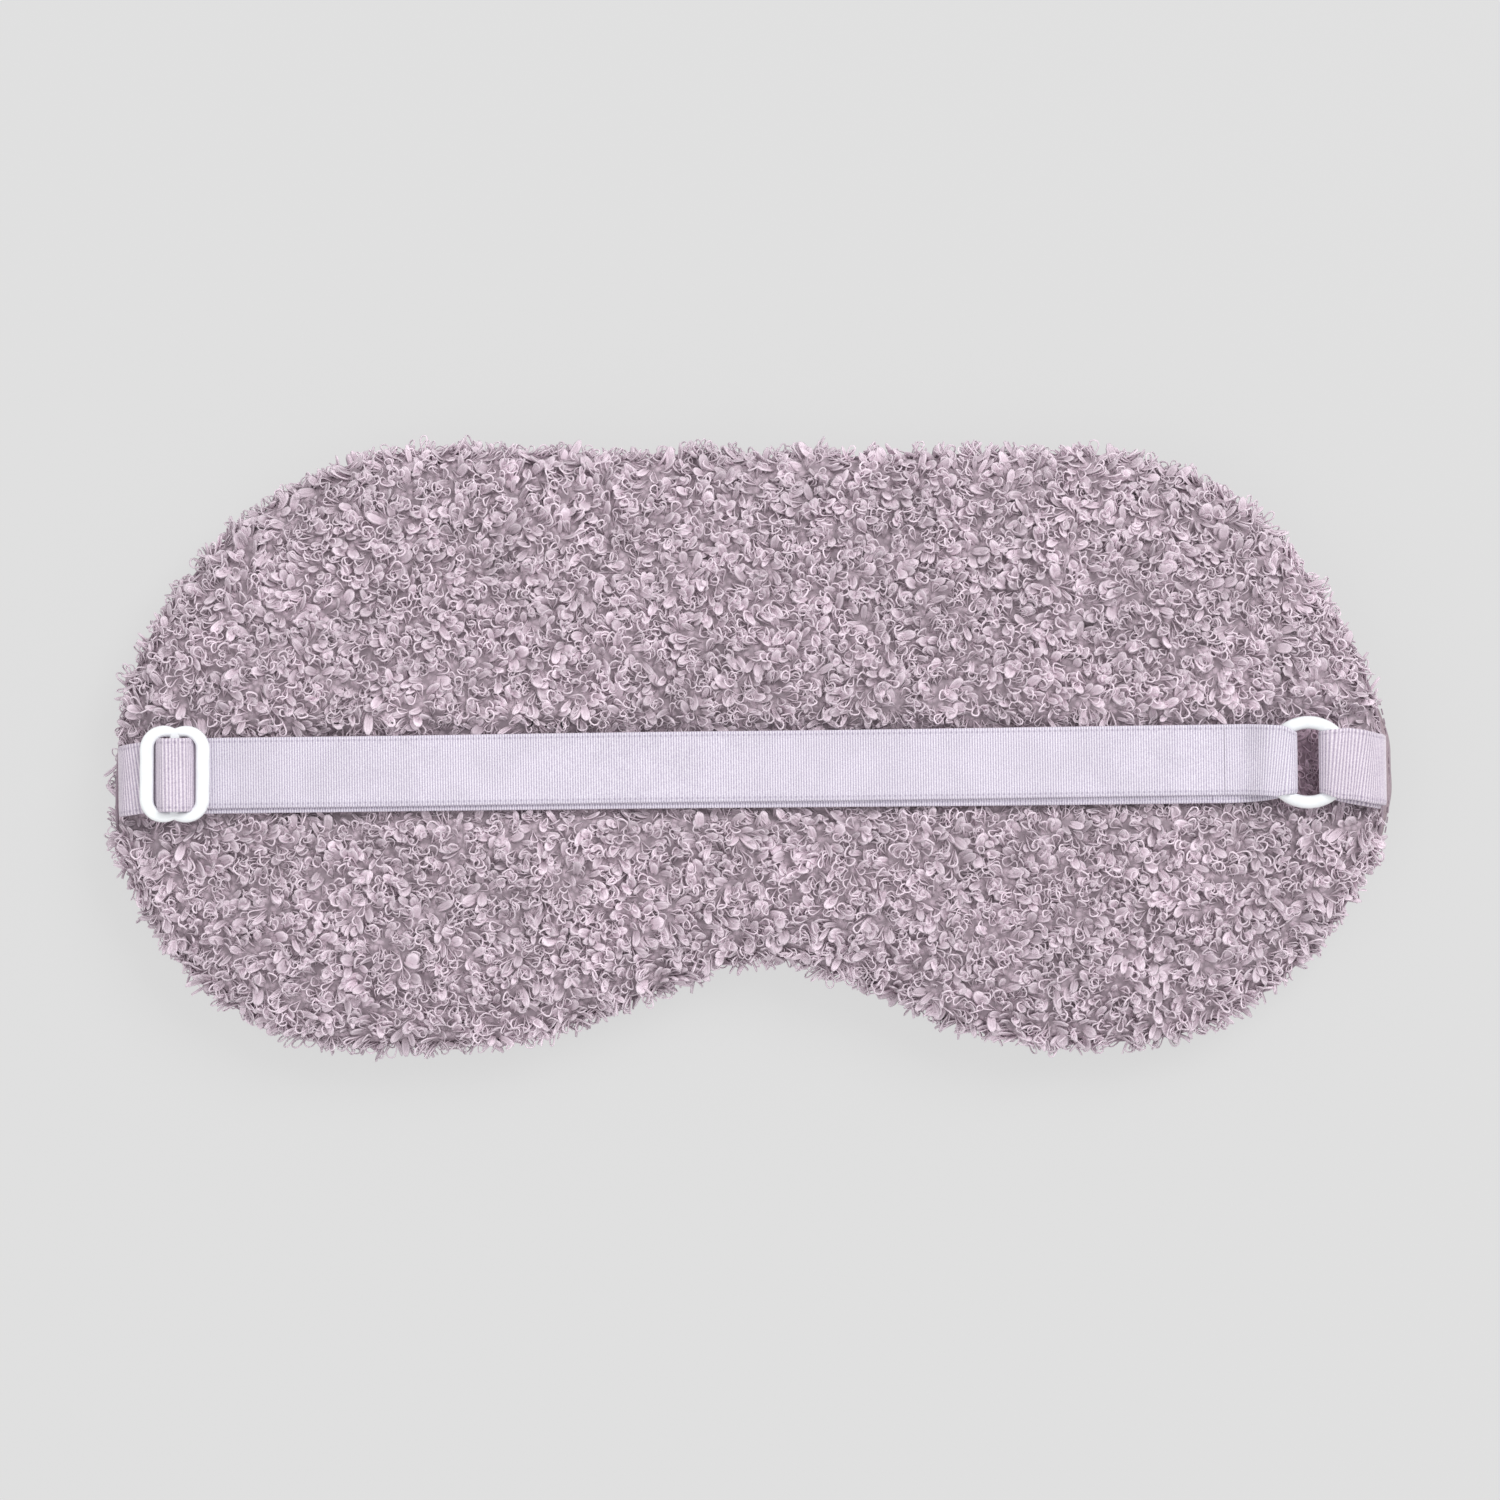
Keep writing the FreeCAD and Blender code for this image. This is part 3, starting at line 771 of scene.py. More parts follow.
def loop_shapes(yarn):
    """A collection of the pile's loops, at their real size."""
    radius = yarn / 2
    made = bpy.data.collections.new("loop shapes")
    shapes = {
        "loop_open": (tube(loop_path(3.3, 1.9, 0.15, 0.4), radius, 3), 3.3),
        "loop_round": (tube(loop_path(2.7, 2.1, -0.2, 0.3), radius, 3), 2.7),
        "loop_slim": (tube(loop_path(3.7, 1.3, 0.25, 0.8), radius, 3), 3.7),
        "loop_small": (tube(loop_path(2.5, 1.5, 0.3, 0.2), radius * 0.9, 3), 2.5),
        "loop_tall": (tube(loop_path(3.5, 1.6, -0.35, 0.2), radius * 0.9, 3), 3.5),
        "loop_crossed": (tube(loop_path(2.9, 1.7, 0.5, -0.4), radius * 0.9, 3), 2.9),
        "petal_long": (petal(3.6, 1.7, yarn, 0.6), 3.6),
        "petal_middle": (petal(3.1, 1.9, yarn, 0.3), 3.1),
        "petal_broad": (petal(2.8, 2.3, yarn, -0.3), 2.8),
        "petal_slim": (petal(3.4, 1.2, yarn, 0.9), 3.4),
    }
    for name, ((verts, faces, rims, sides), length) in shapes.items():
        obj = new_object(name, np.array(verts) * MM, faces)
        mark(obj, "along", np.clip(np.array(verts)[:, 2] / length, 0, 1))
        mark(obj, "rim", rims)
        mark(obj, "strand", sides)
        face_outward(obj)
        bpy.context.scene.collection.objects.unlink(obj)
        made.objects.link(obj)
    return made


DENSEST = 9.0e6   # loops to a square metre, before the least distance thins them


def pile_tree():
    """Scatters loops over a cloth: they lean in clumps, and lie flat where the cloth is pressed."""
    group, given, out = new_group(
        "Terry pile", "GeometryNodeTree",
        [("Geometry", "Geometry", None), ("Spacing", "Float", 0.0013), ("Seed", "Int", 0),
         ("Low X", "Float", -1.0), ("High X", "Float", 1.0), ("Lean", "Float", 1.0),
         ("Clump", "Float", 0.008), ("Loop Scale", "Float", 1.0),
         ("Loops", "Collection", None), ("Finish", "Material", None)],
        [("Geometry", "Geometry")])

    def random(low, high, seed):
        node = put(group, "FunctionNodeRandomValue", {"data_type": "FLOAT"})
        node.inputs[2].default_value, node.inputs[3].default_value = low, high
        plug(group, node.inputs["Seed"], calc(group, "ADD", given["Seed"], float(seed)))
        return node.outputs[1]

    scatter = put(group, "GeometryNodeDistributePointsOnFaces", {"distribute_method": "POISSON"},
                  Mesh=given["Geometry"], Distance_Min=given["Spacing"], Density_Max=DENSEST,
                  Seed=given["Seed"])
    normal = scatter.outputs["Normal"]
    place = put(group, "GeometryNodeInputPosition").outputs[0]
    x = put(group, "ShaderNodeSeparateXYZ", Vector=place).outputs["X"]
    outside = calc(group, "ADD", calc(group, "LESS_THAN", x, given["Low X"]),
                   calc(group, "SUBTRACT", 1.0, calc(group, "LESS_THAN", x, given["High X"])))
    bare = put(group, "GeometryNodeInputNamedAttribute", {"data_type": "FLOAT"}, Name="bare").outputs[0]
    drop = calc(group, "GREATER_THAN", calc(group, "ADD", outside, bare), 0.5)
    kept = put(group, "GeometryNodeDeleteGeometry", {"domain": "POINT"}, Geometry=scatter.outputs["Points"],
               Selection=drop).outputs[0]

    pressed = put(group, "GeometryNodeInputNamedAttribute", {"data_type": "FLOAT"}, Name="pressed").outputs[0]
    clumps = put(group, "ShaderNodeTexNoise", Vector=place, Scale=calc(group, "DIVIDE", 1.0, given["Clump"]),
                 Detail=1.0)
    turn = calc(group, "MULTIPLY", calc(group, "SUBTRACT", clumps.outputs["Fac"], 0.5), 30.0)
    turn = calc(group, "ADD", turn, random(-0.55, 0.55, 11))
    flow = put(group, "ShaderNodeCombineXYZ", X=calc(group, "COSINE", turn),
               Y=calc(group, "SINE", turn)).outputs[0]
    flat = vector(group, "SUBTRACT", flow, scaled(group, normal, vector(group, "DOT_PRODUCT", flow, normal)))
    flat = vector(group, "NORMALIZE", flat)
    lean = calc(group, "ADD", given["Lean"], random(-0.38, 0.30, 12))
    down = math.radians(84)
    lean = calc(group, "ADD", lean, calc(group, "MULTIPLY", calc(group, "SUBTRACT", down, lean), pressed))
    grow = vector(group, "ADD", scaled(group, normal, calc(group, "COSINE", lean)),
                  scaled(group, flat, calc(group, "SINE", lean)))
    upright = put(group, "FunctionNodeAlignRotationToVector", {"axis": "Z"}, Vector=grow).outputs[0]
    facing = put(group, "FunctionNodeAlignRotationToVector", {"axis": "Y", "pivot_axis": "Z"},
                 Rotation=upright, Vector=normal).outputs[0]
    twist = put(group, "FunctionNodeAxisAngleToRotation", Axis=(0, 0, 1),
                Angle=random(-0.6, 0.6, 13)).outputs[0]
    turned = put(group, "FunctionNodeRotateRotation", {"rotation_space": "LOCAL"}, Rotation=facing,
                 Rotate_By=twist).outputs[0]
    size = calc(group, "MULTIPLY", given["Loop Scale"], random(0.8, 1.2, 14))
    size = calc(group, "MULTIPLY", size, calc(group, "MULTIPLY_ADD", pressed, -0.3, 1.0))

    loops = put(group, "GeometryNodeCollectionInfo", {"transform_space": "ORIGINAL"},
                Collection=given["Loops"], Separate_Children=True, Reset_Children=True).outputs[0]
    placed = put(group, "GeometryNodeInstanceOnPoints", Points=kept, Instance=loops, Pick_Instance=True,
                 Rotation=turned, Scale=size).outputs[0]
    shade = calc(group, "DIVIDE", calc(group, "FLOOR", random(0.0, float(SHADES), 15)), float(SHADES))
    tuft = put(group, "GeometryNodeStoreNamedAttribute", {"domain": "INSTANCE", "data_type": "FLOAT"},
               Geometry=placed, Name="tuft", Value=shade).outputs[0]
    end_tree(group, tuft, given["Finish"], out)
    return group


def strap_underside(u):
    """Height of the strap's underside along it, which the pile gives way to."""
    return np.interp(u, [-108.2, -107.0, -105.6, -103.4, 103.6, 105.8, 107.2, 108.4],
                     [8.8, 13.6, 15.8, 16.4, 16.4, 15.8, 13.6, 8.8])


def tuck_pile(obj):
    """Keeps the loops above the floor and under the strap, the slider and the ring."""
    points = points_of(obj)
    u, v = strap_uv(points)
    z = points[:, 2] / MM
    reach = ELASTIC_WIDTH / 2
    lean = np.interp(u, [-108, -101, 98, 108], [-1.2, 0.0, -0.6, -2.1])
    under = (v - lean > -reach - 1.35) & (v - lean < reach + 0.05)
    z = np.where(under, np.minimum(z, strap_underside(u) + 0.1 * np.sin(7.0 * u) * np.sin(5.0 * v)), z)
    beside = np.hypot(u - RING_U, v - RING_V) < RING_OUTER + 0.2
    z = np.where(beside, np.minimum(z, RING_Z - 1.3), z)
    slid = (u > SLIDER_U - 6.2) & (u < SLIDER_U + SLIDER_TRAVEL + 6.6) & (np.abs(v - SLIDER_V) < 8.5)
    z = np.where(slid, np.minimum(z, SLIDER_LOW - 0.2), z)
    points[:, 2] = np.maximum(z, FLOOR_GAP) * MM
    set_points(obj, points)


def bake_map(obj):
    """Lays each loop out as a narrow column by its shade, from its foot to its tip."""
    mesh = obj.data
    tuft, along, rim = (np.empty(len(mesh.vertices)) for _ in range(3))
    for name, values in (("tuft", tuft), ("along", along), ("rim", rim)):
        mesh.attributes[name].data.foreach_get("value", values)
    corner = np.empty(len(mesh.loops), int)
    mesh.loops.foreach_get("vertex_index", corner)
    column = tuft + (0.15 + 0.5 * rim + 0.2 * (np.arange(len(tuft)) % 2)) / SHADES
    places = np.stack([column[corner], 0.02 + 0.96 * along[corner]], 1)
    layer = mesh.uv_layers.new(name="OFBake")
    layer.uv.foreach_set("vector", places.astype(np.float32).ravel())


def make_pile(source, side, parts, spacing, sizes, material, loops, tree):
    """Grows the pile of one cover, in a few pieces from left to right."""
    low, high = CAD_BOX[0][0] - 0.01, CAD_BOX[1][0] + 0.01
    cuts = np.linspace(low, high, parts + 1)
    for i in range(parts):
        name = f"{side}_pile_{i + 1}"
        work = copy_of(source, "work")
        with_nodes(work, tree, Spacing=spacing * MM, Seed=sizes.seed, Low_X=float(cuts[i]),
                   High_X=float(cuts[i + 1]), Lean=sizes.lean, Clump=sizes.clump * MM,
                   Loop_Scale=sizes.loop_scale, Loops=loops, Finish=material)
        pile = finished(work, name)
        tuck_pile(pile)
        pile.data.shade_smooth()
        bake_map(pile)
        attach(pile, "mask")


class MakeCovers(bpy.types.Operator):
    """Makes the two puffed covers with their wadding and lining, and grows their pile"""
    bl_idname = "sleep_mask.make_covers"
    bl_label = "Covers and pile"

    def execute(self, context):
        sizes, pile = context.scene.mask_covers, context.scene.mask_pile
        colours = context.scene.mask_finishes
        edge = uneven(mask_edge())
        inner = moved_in(edge, sizes.edge_inset)
        rise = TOP_Z - SEAM_Z - sizes.cloth_inset
        body = cushion("cushion", inner, rise, sizes.edge_round)
        body = puff_up(body, sizes.voxel, inner, cap=1.0)
        shape_cushion(body, sizes)
        halves = {"back": half_of(body, "back_cloth", True), "front": half_of(body, "front_cloth", False)}
        loops, tree = loop_shapes(pile.yarn), pile_tree()
        for side, shell in halves.items():
            points = points_of(shell)
            u, v = strap_uv(points)
            mark(shell, "pressed", press(v - RING_V, ELASTIC_WIDTH / 2) * (1 if side == "back" else 0))
            # painted shade round the ring's hole, where the ring and the strap keep the light off the loops; on
            # the back cover only
            matted = np.clip((RING_OUTER + 1.0 - np.hypot(u - RING_U, v - RING_V)) / 3.0, 0, 1)
            mark(shell, "matted", matted if side == "back" else 0 * matted)
            x, y, z = points.T / MM
            beside_tab = (x > node_box("back_cover")[1][0] - 3.6) & (y > -17) & (y < 9)
            beside_tab &= (z > 4.6) & (z < SEAM_Z + 0.2)
            mark(shell, "bare", beside_tab)
            # painted shade: the front cover's loop tips are 3% darker, as the front cover shows only at the
            # edges, under the back cover
            tip = darker(pile.tip, 1.0 if side == "back" else 0.97)
            finish = terry_material(f"terry_{side}", tip, pile.root)
            spacing, parts = (pile.spacing, 6) if side == "back" else (pile.front_spacing, 4)
            make_pile(shell, side, parts, spacing, pile, finish, loops, tree)
            cloth = ground_material(f"terry_ground_{side}", pile.root)
            if side == "front":
                lining = copy_of(shell, "lining_source")
                lining.data.transform(scale_about(0.985, 0.955, 0.86))
                lining = walled(lining, 0.3)
                lining.name = "blackout_sheet"
                use_material(lining, cloth_material("blackout_cloth", colours.lining, 0.2))
                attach(lining, "mask")
                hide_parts("blackout_lining")
            shell = walled(shell, 1.0)
            use_material(shell, cloth)
            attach(shell, "mask")
            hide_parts(f"{side}_cover")
        body.data.transform(scale_about(0.965, 0.93, 0.70))
        body.name = "wadding"
        use_material(body, cloth_material("wadding_fibre", colours.wadding, 0.8))
        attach(body, "mask")
        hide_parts("padding")
        return {"FINISHED"}


def scale_about(x, y, z):
    """Scales about the centre of the seam's plane."""
    lift = Matrix.Translation((0, 0, SEAM_Z * MM))
    return lift @ Matrix.Diagonal((x, y, z, 1)) @ lift.inverted()


# ---- the strap ----
def smooth_path(points, step):
    """An even, smooth path through the points; a point may also hold the half width there."""
    points = np.array(points, float)
    before = np.concatenate([[2 * points[0] - points[1]], points, [2 * points[-1] - points[-2]]])
    knots = np.concatenate([[0], np.cumsum(np.linalg.norm(np.diff(before[:, :3], axis=0), axis=1) ** 0.5)])
    fine = []
    for i in range(1, len(before) - 2):
        t0, t1, t2, t3 = knots[i - 1:i + 3]
        p0, p1, p2, p3 = before[i - 1:i + 3]
        span = max(8, int(np.linalg.norm((p2 - p1)[:3]) / step) * 2)
        for t in np.linspace(t1, t2, span, endpoint=False):
            a1 = (t1 - t) / (t1 - t0) * p0 + (t - t0) / (t1 - t0) * p1
            a2 = (t2 - t) / (t2 - t1) * p1 + (t - t1) / (t2 - t1) * p2
            a3 = (t3 - t) / (t3 - t2) * p2 + (t - t2) / (t3 - t2) * p3
            b1 = (t2 - t) / (t2 - t0) * a1 + (t - t0) / (t2 - t0) * a2
            b2 = (t3 - t) / (t3 - t1) * a2 + (t - t1) / (t3 - t1) * a3
            fine.append((t2 - t) / (t2 - t1) * b1 + (t - t1) / (t2 - t1) * b2)
    fine = np.array(fine + [points[-1]])
    length = np.concatenate([[0], np.cumsum(np.linalg.norm(np.diff(fine[:, :3], axis=0), axis=1))])
    even = np.linspace(0, length[-1], max(4, int(length[-1] / step)))
    return np.stack([np.interp(even, length, fine[:, k]) for k in range(fine.shape[1])], 1), even


ACROSS = (-1.0, -0.97, -0.88, -0.6, -0.2, 0.2, 0.6, 0.88, 0.97, 1.0)


def ribbon(name, path, along):
    """A flat strip of elastic along a path whose stations are (along, across, height, half width)."""
    way = np.gradient(path[:, :3], axis=0)
    way /= np.linalg.norm(way, axis=1)[:, None]
    side = np.array([0.0, 1.0, 0.0]) - way * way[:, 1:2]
    side /= np.linalg.norm(side, axis=1)[:, None]
    up = np.cross(way, side)
    share = np.array(ACROSS)
    thin = ELASTIC_THICKNESS / 2 * np.where(np.abs(share) == 1, 0.45, 1.0)
    rows = [(s, t) for s, t in zip(share, thin)] + [(s, -t) for s, t in zip(share[::-1], thin[::-1])]
    ring = len(rows)
    verts = np.stack([path[:, :3] + side * (path[:, 3:4] * s) + up * t for s, t in rows], 1).reshape(-1, 3)
    faces = []
    for i in range(len(path) - 1):
        for k in range(ring):
            a, b = i * ring + k, i * ring + (k + 1) % ring
            faces.append((a, a + ring, b + ring, b))
    faces.append(tuple(range(ring)))
    last = (len(path) - 1) * ring
    faces.append(tuple(last + k for k in range(ring))[::-1])
    obj = new_object(name, on_strap(verts), faces)
    mark(obj, "along", np.repeat(along, ring))
    mark(obj, "across", np.tile([s for s, t in rows], len(path)))
    return face_outward(obj)


def rib_tree():
    """Raises the elastic's ribs, which die out at its selvedges."""
    group, given, out = new_group(
        "Elastic ribs", "GeometryNodeTree",
        [("Geometry", "Geometry", None), ("Pitch", "Float", 0.44), ("Depth", "Float", 0.00007),
         ("Finish", "Material", None)],
        [("Geometry", "Geometry")])
    along = put(group, "GeometryNodeInputNamedAttribute", {"data_type": "FLOAT"}, Name="along").outputs[0]
    across = put(group, "GeometryNodeInputNamedAttribute", {"data_type": "FLOAT"}, Name="across").outputs[0]
    turns = calc(group, "MULTIPLY", calc(group, "DIVIDE", along, given["Pitch"]), math.tau)
    wave = calc(group, "MULTIPLY_ADD", calc(group, "COSINE", turns), -0.5, 0.0)
    fade = between(group, calc(group, "ABSOLUTE", across), 0.98, 0.90)
    height = calc(group, "MULTIPLY", calc(group, "MULTIPLY", wave, fade), given["Depth"])
    normal = put(group, "GeometryNodeInputNormal").outputs[0]
    raised = put(group, "GeometryNodeSetPosition", Geometry=given["Geometry"],
                 Offset=scaled(group, normal, height))
    end_tree(group, raised.outputs[0], given["Finish"], out)
    return group


def cut_path(path, along, low, high):
    """The stations of a path between two of them, both included."""
    return path[low:high + 1], along[low:high + 1]


def stitch_tree():
    """Lays slanted stitches along a line, at an even pitch."""
    group, given, out = new_group(
        "Stitch row", "GeometryNodeTree",
        [("Geometry", "Geometry", None), ("Pitch", "Float", 0.002), ("Length", "Float", 0.002),
         ("Thread", "Float", 0.0004), ("Slant", "Float", 0.5), ("Finish", "Material", None)],
        [("Geometry", "Geometry")])
    line = put(group, "GeometryNodeMeshToCurve", Mesh=given["Geometry"]).outputs[0]
    even = put(group, "GeometryNodeResampleCurve", {"mode": "LENGTH"}, Curve=line,
               Length=given["Pitch"]).outputs[0]
    stitch = put(group, "GeometryNodeMeshCylinder", Vertices=6,
                 Radius=calc(group, "MULTIPLY", given["Thread"], 0.5), Depth=given["Length"]).outputs["Mesh"]
    tangent = put(group, "GeometryNodeInputTangent").outputs[0]
    lean = put(group, "ShaderNodeCombineXYZ", Z=calc(group, "TANGENT", given["Slant"])).outputs[0]
    way = vector(group, "ADD", tangent, lean)
    turn = put(group, "FunctionNodeAlignRotationToVector", {"axis": "Z"}, Vector=way).outputs[0]
    placed = put(group, "GeometryNodeInstanceOnPoints", Points=even, Instance=stitch,
                 Rotation=turn).outputs[0]
    end_tree(group, placed, given["Finish"], out)
    return group


def line_object(points):
    """A bare line through points in metres."""
    mesh = bpy.data.meshes.new("line")
    mesh.from_pydata([tuple(p) for p in points], [(i, i + 1) for i in range(len(points) - 1)], [])
    made = bpy.data.objects.new("line", mesh)
    bpy.context.scene.collection.objects.link(made)
    return made


def roll(name, plan, heights, widths, rises, closed=False, sides=10):
    """A tube with an oval section along a line, given in plan (mm), with its size at each point."""
    count = len(plan)
    run = np.roll(plan, -1, 0) - np.roll(plan, 1, 0) if closed else np.gradient(plan, axis=0)
    run /= np.linalg.norm(run, axis=1)[:, None]
    out = np.stack([run[:, 1], -run[:, 0]], 1)
    verts, faces = [], []
    for p, n, z, w, h in zip(plan, out, heights, widths, rises):
        for k in range(sides):
            angle = math.tau * k / sides
            verts.append((*(p + n * w * math.cos(angle)), z + h * math.sin(angle)))
    for i in range(count if closed else count - 1):
        for k in range(sides):
            a, b = i * sides, (i + 1) % count * sides
            faces.append((a + k, b + k, b + (k + 1) % sides, a + (k + 1) % sides))
    if not closed:
        faces.append(tuple(range(sides)))
        faces.append(tuple((count - 1) * sides + k for k in range(sides))[::-1])
    obj = new_object(name, np.array(verts) * MM, faces)
    return face_outward(obj)


class MakeSeams(bpy.types.Operator):
    """Makes the seam between the covers, the smooth edge beside the tab and the closing stitches"""
    bl_idname = "sleep_mask.make_seams"
    bl_label = "Seams and stitches"

    def execute(self, context):
        sizes, colours = context.scene.mask_covers, context.scene.mask_finishes
        edge = uneven(mask_edge())
        inner = moved_in(edge, sizes.edge_inset - 0.05)
        count = len(inner)
        thread = cloth_material("seam_yarn", linear(176, 158, 170), 0.12, sheen=0.3)
        seam = roll("cover_seam", inner, [SEAM_Z] * count, [0.3] * count, [0.25] * count, closed=True,
                    sides=6)
        use_material(seam, thread)
        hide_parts("seam_thread")
        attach(seam, "mask")

        right = edge[(edge[:, 0] > 0) & (edge[:, 1] > -19) & (edge[:, 1] < 12)]
        right = right[np.argsort(right[:, 1])]
        fine = np.linspace(0, 1, 40)
        share = (right[:, 1] - right[0, 1]) / (right[-1, 1] - right[0, 1])
        plan = np.stack([np.interp(fine, share, right[:, 0]) - 1.15, np.interp(fine, share, right[:, 1])], 1)
        taper = np.clip(np.sin(math.pi * fine), 0, 1) ** 0.4
        wave = 0.12 * np.sin(fine * 21.0)
        sway = np.stack([wave, 0 * wave], 1) - np.stack([1.2 * (1 - taper), 0 * taper], 1)
        edge_roll = roll("smooth_edge", plan + sway, 6.9 + wave, 1.5 * taper + 0.05, 2.3 * taper + 0.05)
        use_material(edge_roll, cloth_material("smooth_edge_cloth", colours.welt, 0.35))
        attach(edge_roll, "mask")

        tree = stitch_tree()
        top = inner[(inner[:, 0] > 12) & (inner[:, 0] < 48) & (inner[:, 1] > 0)]
        top = top[np.argsort(top[:, 0])]
        line = line_object([(x * MM, (y + 0.25) * MM, SEAM_Z * MM) for x, y in top])
        with_nodes(line, tree, Pitch=4.0 * MM, Length=3.2 * MM, Thread=0.45 * MM, Slant=math.radians(65),
                   Finish=thread)
        closing = finished(line, "closing_stitch_row")
        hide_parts("closing_stitches")
        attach(closing, "mask")
        line = line_object([((x + 1.0) * MM, y * MM, (SEAM_Z - 0.5) * MM) for x, y in plan[4:-4]])
        with_nodes(line, tree, Pitch=1.6 * MM, Length=1.1 * MM, Thread=0.25 * MM, Slant=0.0, Finish=thread)
        row = finished(line, "smooth_edge_stitches")
        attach(row, "mask")
        return {"FINISHED"}


class MakeStrap(bpy.types.Operator):
    """Makes the ribbed elastic: its tail, runs, folds and tab"""
    bl_idname = "sleep_mask.make_strap"
    bl_label = "Elastic strap"

    def execute(self, context):
        sizes = context.scene.mask_strap
        step = sizes.rib_pitch / 4
        tree = rib_tree()
        finishes = {
            "": elastic_material("ribbed_elastic", sizes.colour, sizes.shade, sizes.rib_pitch),
            # the slack elastic is a little warmer, with 8% deeper painted shade between its ribs
            "slack": elastic_material("ribbed_elastic_slack", tinted(sizes.colour, 1.0),
                                      tinted(sizes.shade, 0.92), sizes.slack_pitch),
        }
        half = ELASTIC_WIDTH / 2
        over_z = RING_Z + 1.1 + 0.3 + ELASTIC_THICKNESS / 2
        neck = 5.25
        fold = RING_U - 2.35

        def made(name, path, along, state=""):
            strip = ribbon("strip", path, along)
            pitch = sizes.slack_pitch if state else sizes.rib_pitch
            strip = with_nodes(strip, tree, Pitch=pitch, Depth=sizes.rib_depth * MM, Finish=finishes[state])
            piece = finished(strip, name)
            return piece

        upper, along = smooth_path([
            (-107.55, -1.25, 9.4, half), (-107.7, -1.2, 11.5, half), (-107.35, -1.13, 14.2, half),
            (-106.2, -0.98, 16.4, half), (-104.5, -0.72, 17.55, half), (-102.4, -0.42, RUN_Z, half),
            (-100.0, -0.15, RUN_Z, half), (-96.0, 0.0, RUN_Z, half), (-60.0, 0.0, RUN_Z + 0.12, half),
            (-20.0, 0.05, RUN_Z - 0.05, half), (25.0, -0.05, RUN_Z + 0.1, half), (65.0, 0.0, RUN_Z, half),
            (80.0, 0.0, RUN_Z, half), (83.5, 0.0, RUN_Z + 0.3, half),
            (RING_U - 7.0, -0.15, over_z - 0.2, half),
            (RING_U - 4.9, -0.35, over_z, half), (RING_U - 3.6, -0.5, over_z - 0.05, neck + 0.3),
            (fold - 0.1, RING_V, RING_Z + 0.7, neck), (fold + 0.15, RING_V, RING_Z - 0.35, neck),
            (fold - 0.5, RING_V, RETURN_Z + 0.25, neck), (fold - 1.6, RING_V - 0.2, RETURN_Z, neck + 0.3),
            (RING_U - 6.5, -0.9, RETURN_Z, half), (82.0, -1.35, RETURN_Z, half),
            (78.0, -1.35, RETURN_Z, half),
        ], step)
        tail_end = int(np.argmax(upper[:, 0] > -102.4))
        run_end = int(np.argmax(upper[:, 0] > 80.0))
        tail = made("strap_end_over_edge", *cut_path(upper, along, 0, tail_end), "slack")
        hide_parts("strap_tail")
        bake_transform(tail)
        run = made("upper_run", *cut_path(upper, along, tail_end, run_end))
        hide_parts("strap_run_left", "strap_run_right")
        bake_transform(run)
        turn = made("ring_fold", *cut_path(upper, along, run_end, len(upper) - 1))
        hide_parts("ring_turn")
        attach(turn, "strap_right")

        lower, along = smooth_path([
            (78.0, -1.35, RETURN_Z, half), (50.0, -1.3, RETURN_Z, half), (10.0, -1.1, RETURN_Z, half),
            (-STRETCH_ZONE, -0.95, RETURN_Z, half), (-60.0, -0.85, RETURN_Z, half),
            (SLIDER_U + 4, -0.8, RETURN_Z, half), (SLIDER_U - 1.0, -0.75, RETURN_Z, half)], step)
        split = int(np.argmax(lower[:, 0] < -STRETCH_ZONE))
        back = made("lower_run", *cut_path(lower, along, 0, split))
        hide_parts("strap_return_right")
        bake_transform(back)
        slack = made("lower_run_to_slider", *cut_path(lower, along, split, len(lower) - 1))
        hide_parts("strap_return_left")
        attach(slack, "strap_left")
        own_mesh(slack)

        side = [(s * 5.3, RUN_Z + 0.1) for s in (-1, 1)]
        top = WEAVE_TOP - ELASTIC_THICKNESS / 2
        weave = [side[0], (-4.1, RUN_Z + 0.12), (-3.15, 18.6), (-2.45, 20.3), (-1.5, top - 0.15),
                 (0.0, top), (1.5, top - 0.15), (2.45, 20.3), (3.15, 18.6), (4.1, RUN_Z + 0.12), side[1]]
        path, along = smooth_path([(SLIDER_U + u, -0.15, z, half + (0.22 if abs(u) < 3.0 else -0.1))
                                   for u, z in weave], step)
        hump = made("strap_over_bar", path, along + 0.11, "slack")
        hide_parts("strap_weave")
        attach(hump, "slider_set")

        low, high = 18.85, 20.75
        loop = [(1.55, high), (-0.9, high), (-1.7, high - 0.2), (-2.05, (low + high) / 2), (-1.7, low + 0.2),
                (-0.9, low), (1.55, low)]
        path, along = smooth_path([(SLIDER_U + u, SLIDER_V, z, half - 0.3) for u, z in loop], step)
        fold_piece = made("strap_end_fold", path, along)
        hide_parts("slider_loop")
        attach(fold_piece, "slider_set")

        brink = RING_U + 8.0
        tab, along = smooth_path([
            (107.7, -2.2, 9.9, half), (107.75, -2.15, 12.5, half), (107.0, -2.0, 15.4, half),
            (105.4, -1.75, 17.9, half), (brink + 1.6, -1.4, 19.5, half), (brink, -1.1, over_z - 0.35, half),
            (RING_U + 5.6, -0.85, over_z, half), (RING_U + 3.6, -0.65, over_z - 0.05, neck + 0.3),
            (RING_U + 2.45, RING_V, RING_Z + 0.7, neck), (RING_U + 2.2, RING_V, RING_Z - 0.35, neck),
            (RING_U + 2.85, RING_V, RETURN_Z + 0.25, neck),
            (RING_U + 3.9, RING_V - 0.25, RETURN_Z, neck + 0.3),
            (RING_U + 6.5, -1.4, RETURN_Z, half), (104.6, -2.25, RETURN_Z - 0.35, half),
            (106.3, -2.6, 14.6, half), (106.9, -2.75, 12.0, half), (106.9, -2.8, 9.8, half)], step)
        tab_piece = made("ring_tab_strap", tab, along, "slack")
        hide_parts("ring_tab")
        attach(tab_piece, "strap_right")

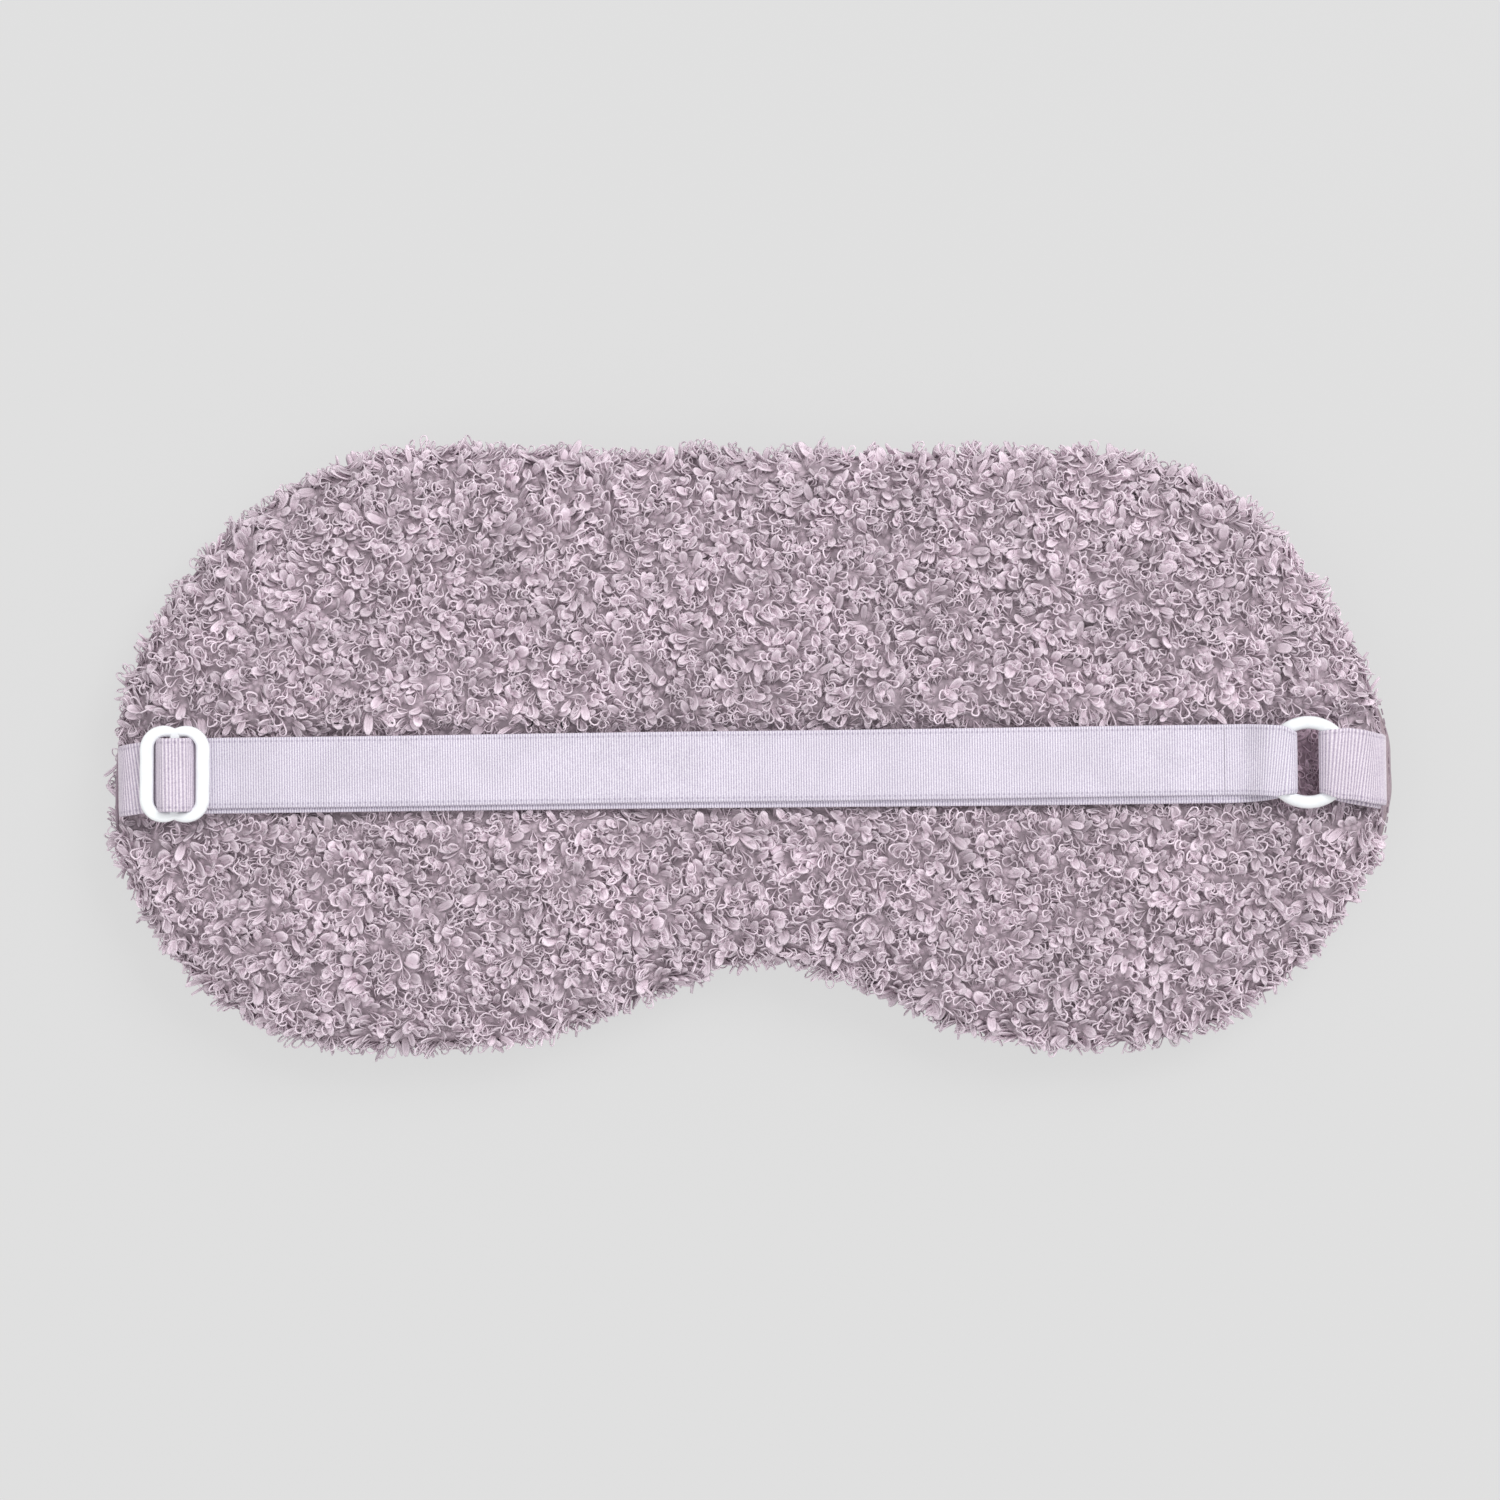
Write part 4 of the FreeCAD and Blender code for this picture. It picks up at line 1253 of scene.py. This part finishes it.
        for side, v, node in ((-1, -1.3, "strap_sewn_end"), (1, -2.4, "tab_sewn_end")):
            path, along = smooth_path([(side * 107.2, v, SEAM_Z + 0.15, half),
                                       (side * 104.0, v, SEAM_Z, half),
                                       (side * 99.6, v, SEAM_Z, half)], step)
            sewn = made(f"{node}_ribbed", path, along, "slack")
            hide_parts(node)
            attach(sewn, "mask")
        return {"FINISHED"}


class FinishHardware(bpy.types.Operator):
    """Gives the slider, the ring and the threads their finishes"""
    bl_idname = "sleep_mask.finish_hardware"
    bl_label = "Slider, ring and threads"

    def execute(self, context):
        colours = context.scene.mask_finishes
        coat = coated_material("white_coating", colours.coating)
        for node in ("slider", "ring"):
            use_material(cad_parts[node], coat)
        thread = cloth_material("sewing_thread", linear(188, 172, 184), 0.12, sheen=0.3)
        for node in ("left_anchor_stitches", "right_anchor_stitches", "loop_stitches"):
            use_material(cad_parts[node], thread)
        return {"FINISHED"}


class SetStage(bpy.types.Operator):
    """Lays the floor and sets the lights and the camera"""
    bl_idname = "sleep_mask.set_stage"
    bl_label = "Floor, lights and camera"

    def execute(self, context):
        scene = context.scene
        reach = 4.0
        corners = [(-reach, -reach, 0), (reach, -reach, 0), (reach, reach, 0), (-reach, reach, 0)]
        floor = new_object("floor", corners, [(0, 1, 2, 3)], smooth=False)
        use_material(floor, floor_material(scene.mask_finishes.floor))

        world = bpy.data.worlds.new("studio")
        world.use_nodes = True
        world.node_tree.nodes["Background"].inputs["Color"].default_value = (1.0, 1.0, 1.0, 1.0)
        world.node_tree.nodes["Background"].inputs["Strength"].default_value = 0.74
        scene.world = world
        for name, place, size, power in (("key", (1.6, 1.7, 2.6), 1.8, 62.0),
                                         ("fill", (-1.8, -1.0, 2.4), 2.4, 14.0)):
            light = bpy.data.lights.new(name, "AREA")
            light.size, light.energy = size, power
            lamp = bpy.data.objects.new(name, light)
            lamp.location = place
            lamp.rotation_euler = Vector(place).to_track_quat("Z", "Y").to_euler()
            scene.collection.objects.link(lamp)

        width, distance, sensor = 0.25424, 0.9, 36.0   # metres seen, metres away, and mm of sensor
        camera = bpy.data.cameras.new("camera")
        camera.sensor_width = sensor
        camera.lens = sensor * distance / width
        camera.clip_end = 20
        viewer = bpy.data.objects.new("camera", camera)
        viewer.location = (-0.00034, 0.00015, TOP_Z * MM + distance)
        scene.collection.objects.link(viewer)
        scene.camera = viewer
        scene.view_settings.view_transform = "Standard"
        return {"FINISHED"}


class SleepMaskPanel(bpy.types.Panel):
    """Lists the steps and their sizes"""
    bl_idname = "VIEW3D_PT_sleep_mask"
    bl_label = "Sleep mask"
    bl_space_type = "VIEW_3D"
    bl_region_type = "UI"
    bl_category = "Sleep mask"

    def draw(self, context):
        scene = context.scene
        for group in (scene.mask_covers, scene.mask_pile, scene.mask_strap, scene.mask_finishes):
            box = self.layout.box()
            for name in group.__annotations__:
                box.prop(group, name)
        for operator in STEPS:
            self.layout.operator(operator.bl_idname)


GROUPS = {"mask_covers": MaskCoverSizes, "mask_pile": MaskPileSizes, "mask_strap": MaskStrapSizes,
          "mask_finishes": MaskFinishColours}
STEPS = (MakeCovers, MakeSeams, MakeStrap, FinishHardware, SetStage)


def register():
    for cls in (*GROUPS.values(), *STEPS, SleepMaskPanel):
        bpy.utils.register_class(cls)
    for name, cls in GROUPS.items():
        setattr(bpy.types.Scene, name, PointerProperty(type=cls))


def unregister():
    for name in GROUPS:
        delattr(bpy.types.Scene, name)
    for cls in reversed((*GROUPS.values(), *STEPS, SleepMaskPanel)):
        bpy.utils.unregister_class(cls)


def main():
    register()
    bpy.ops.sleep_mask.make_covers()
    bpy.ops.sleep_mask.make_seams()
    bpy.ops.sleep_mask.make_strap()
    bpy.ops.sleep_mask.finish_hardware()
    bpy.ops.sleep_mask.set_stage()


if __name__ == "__main__":
    main()
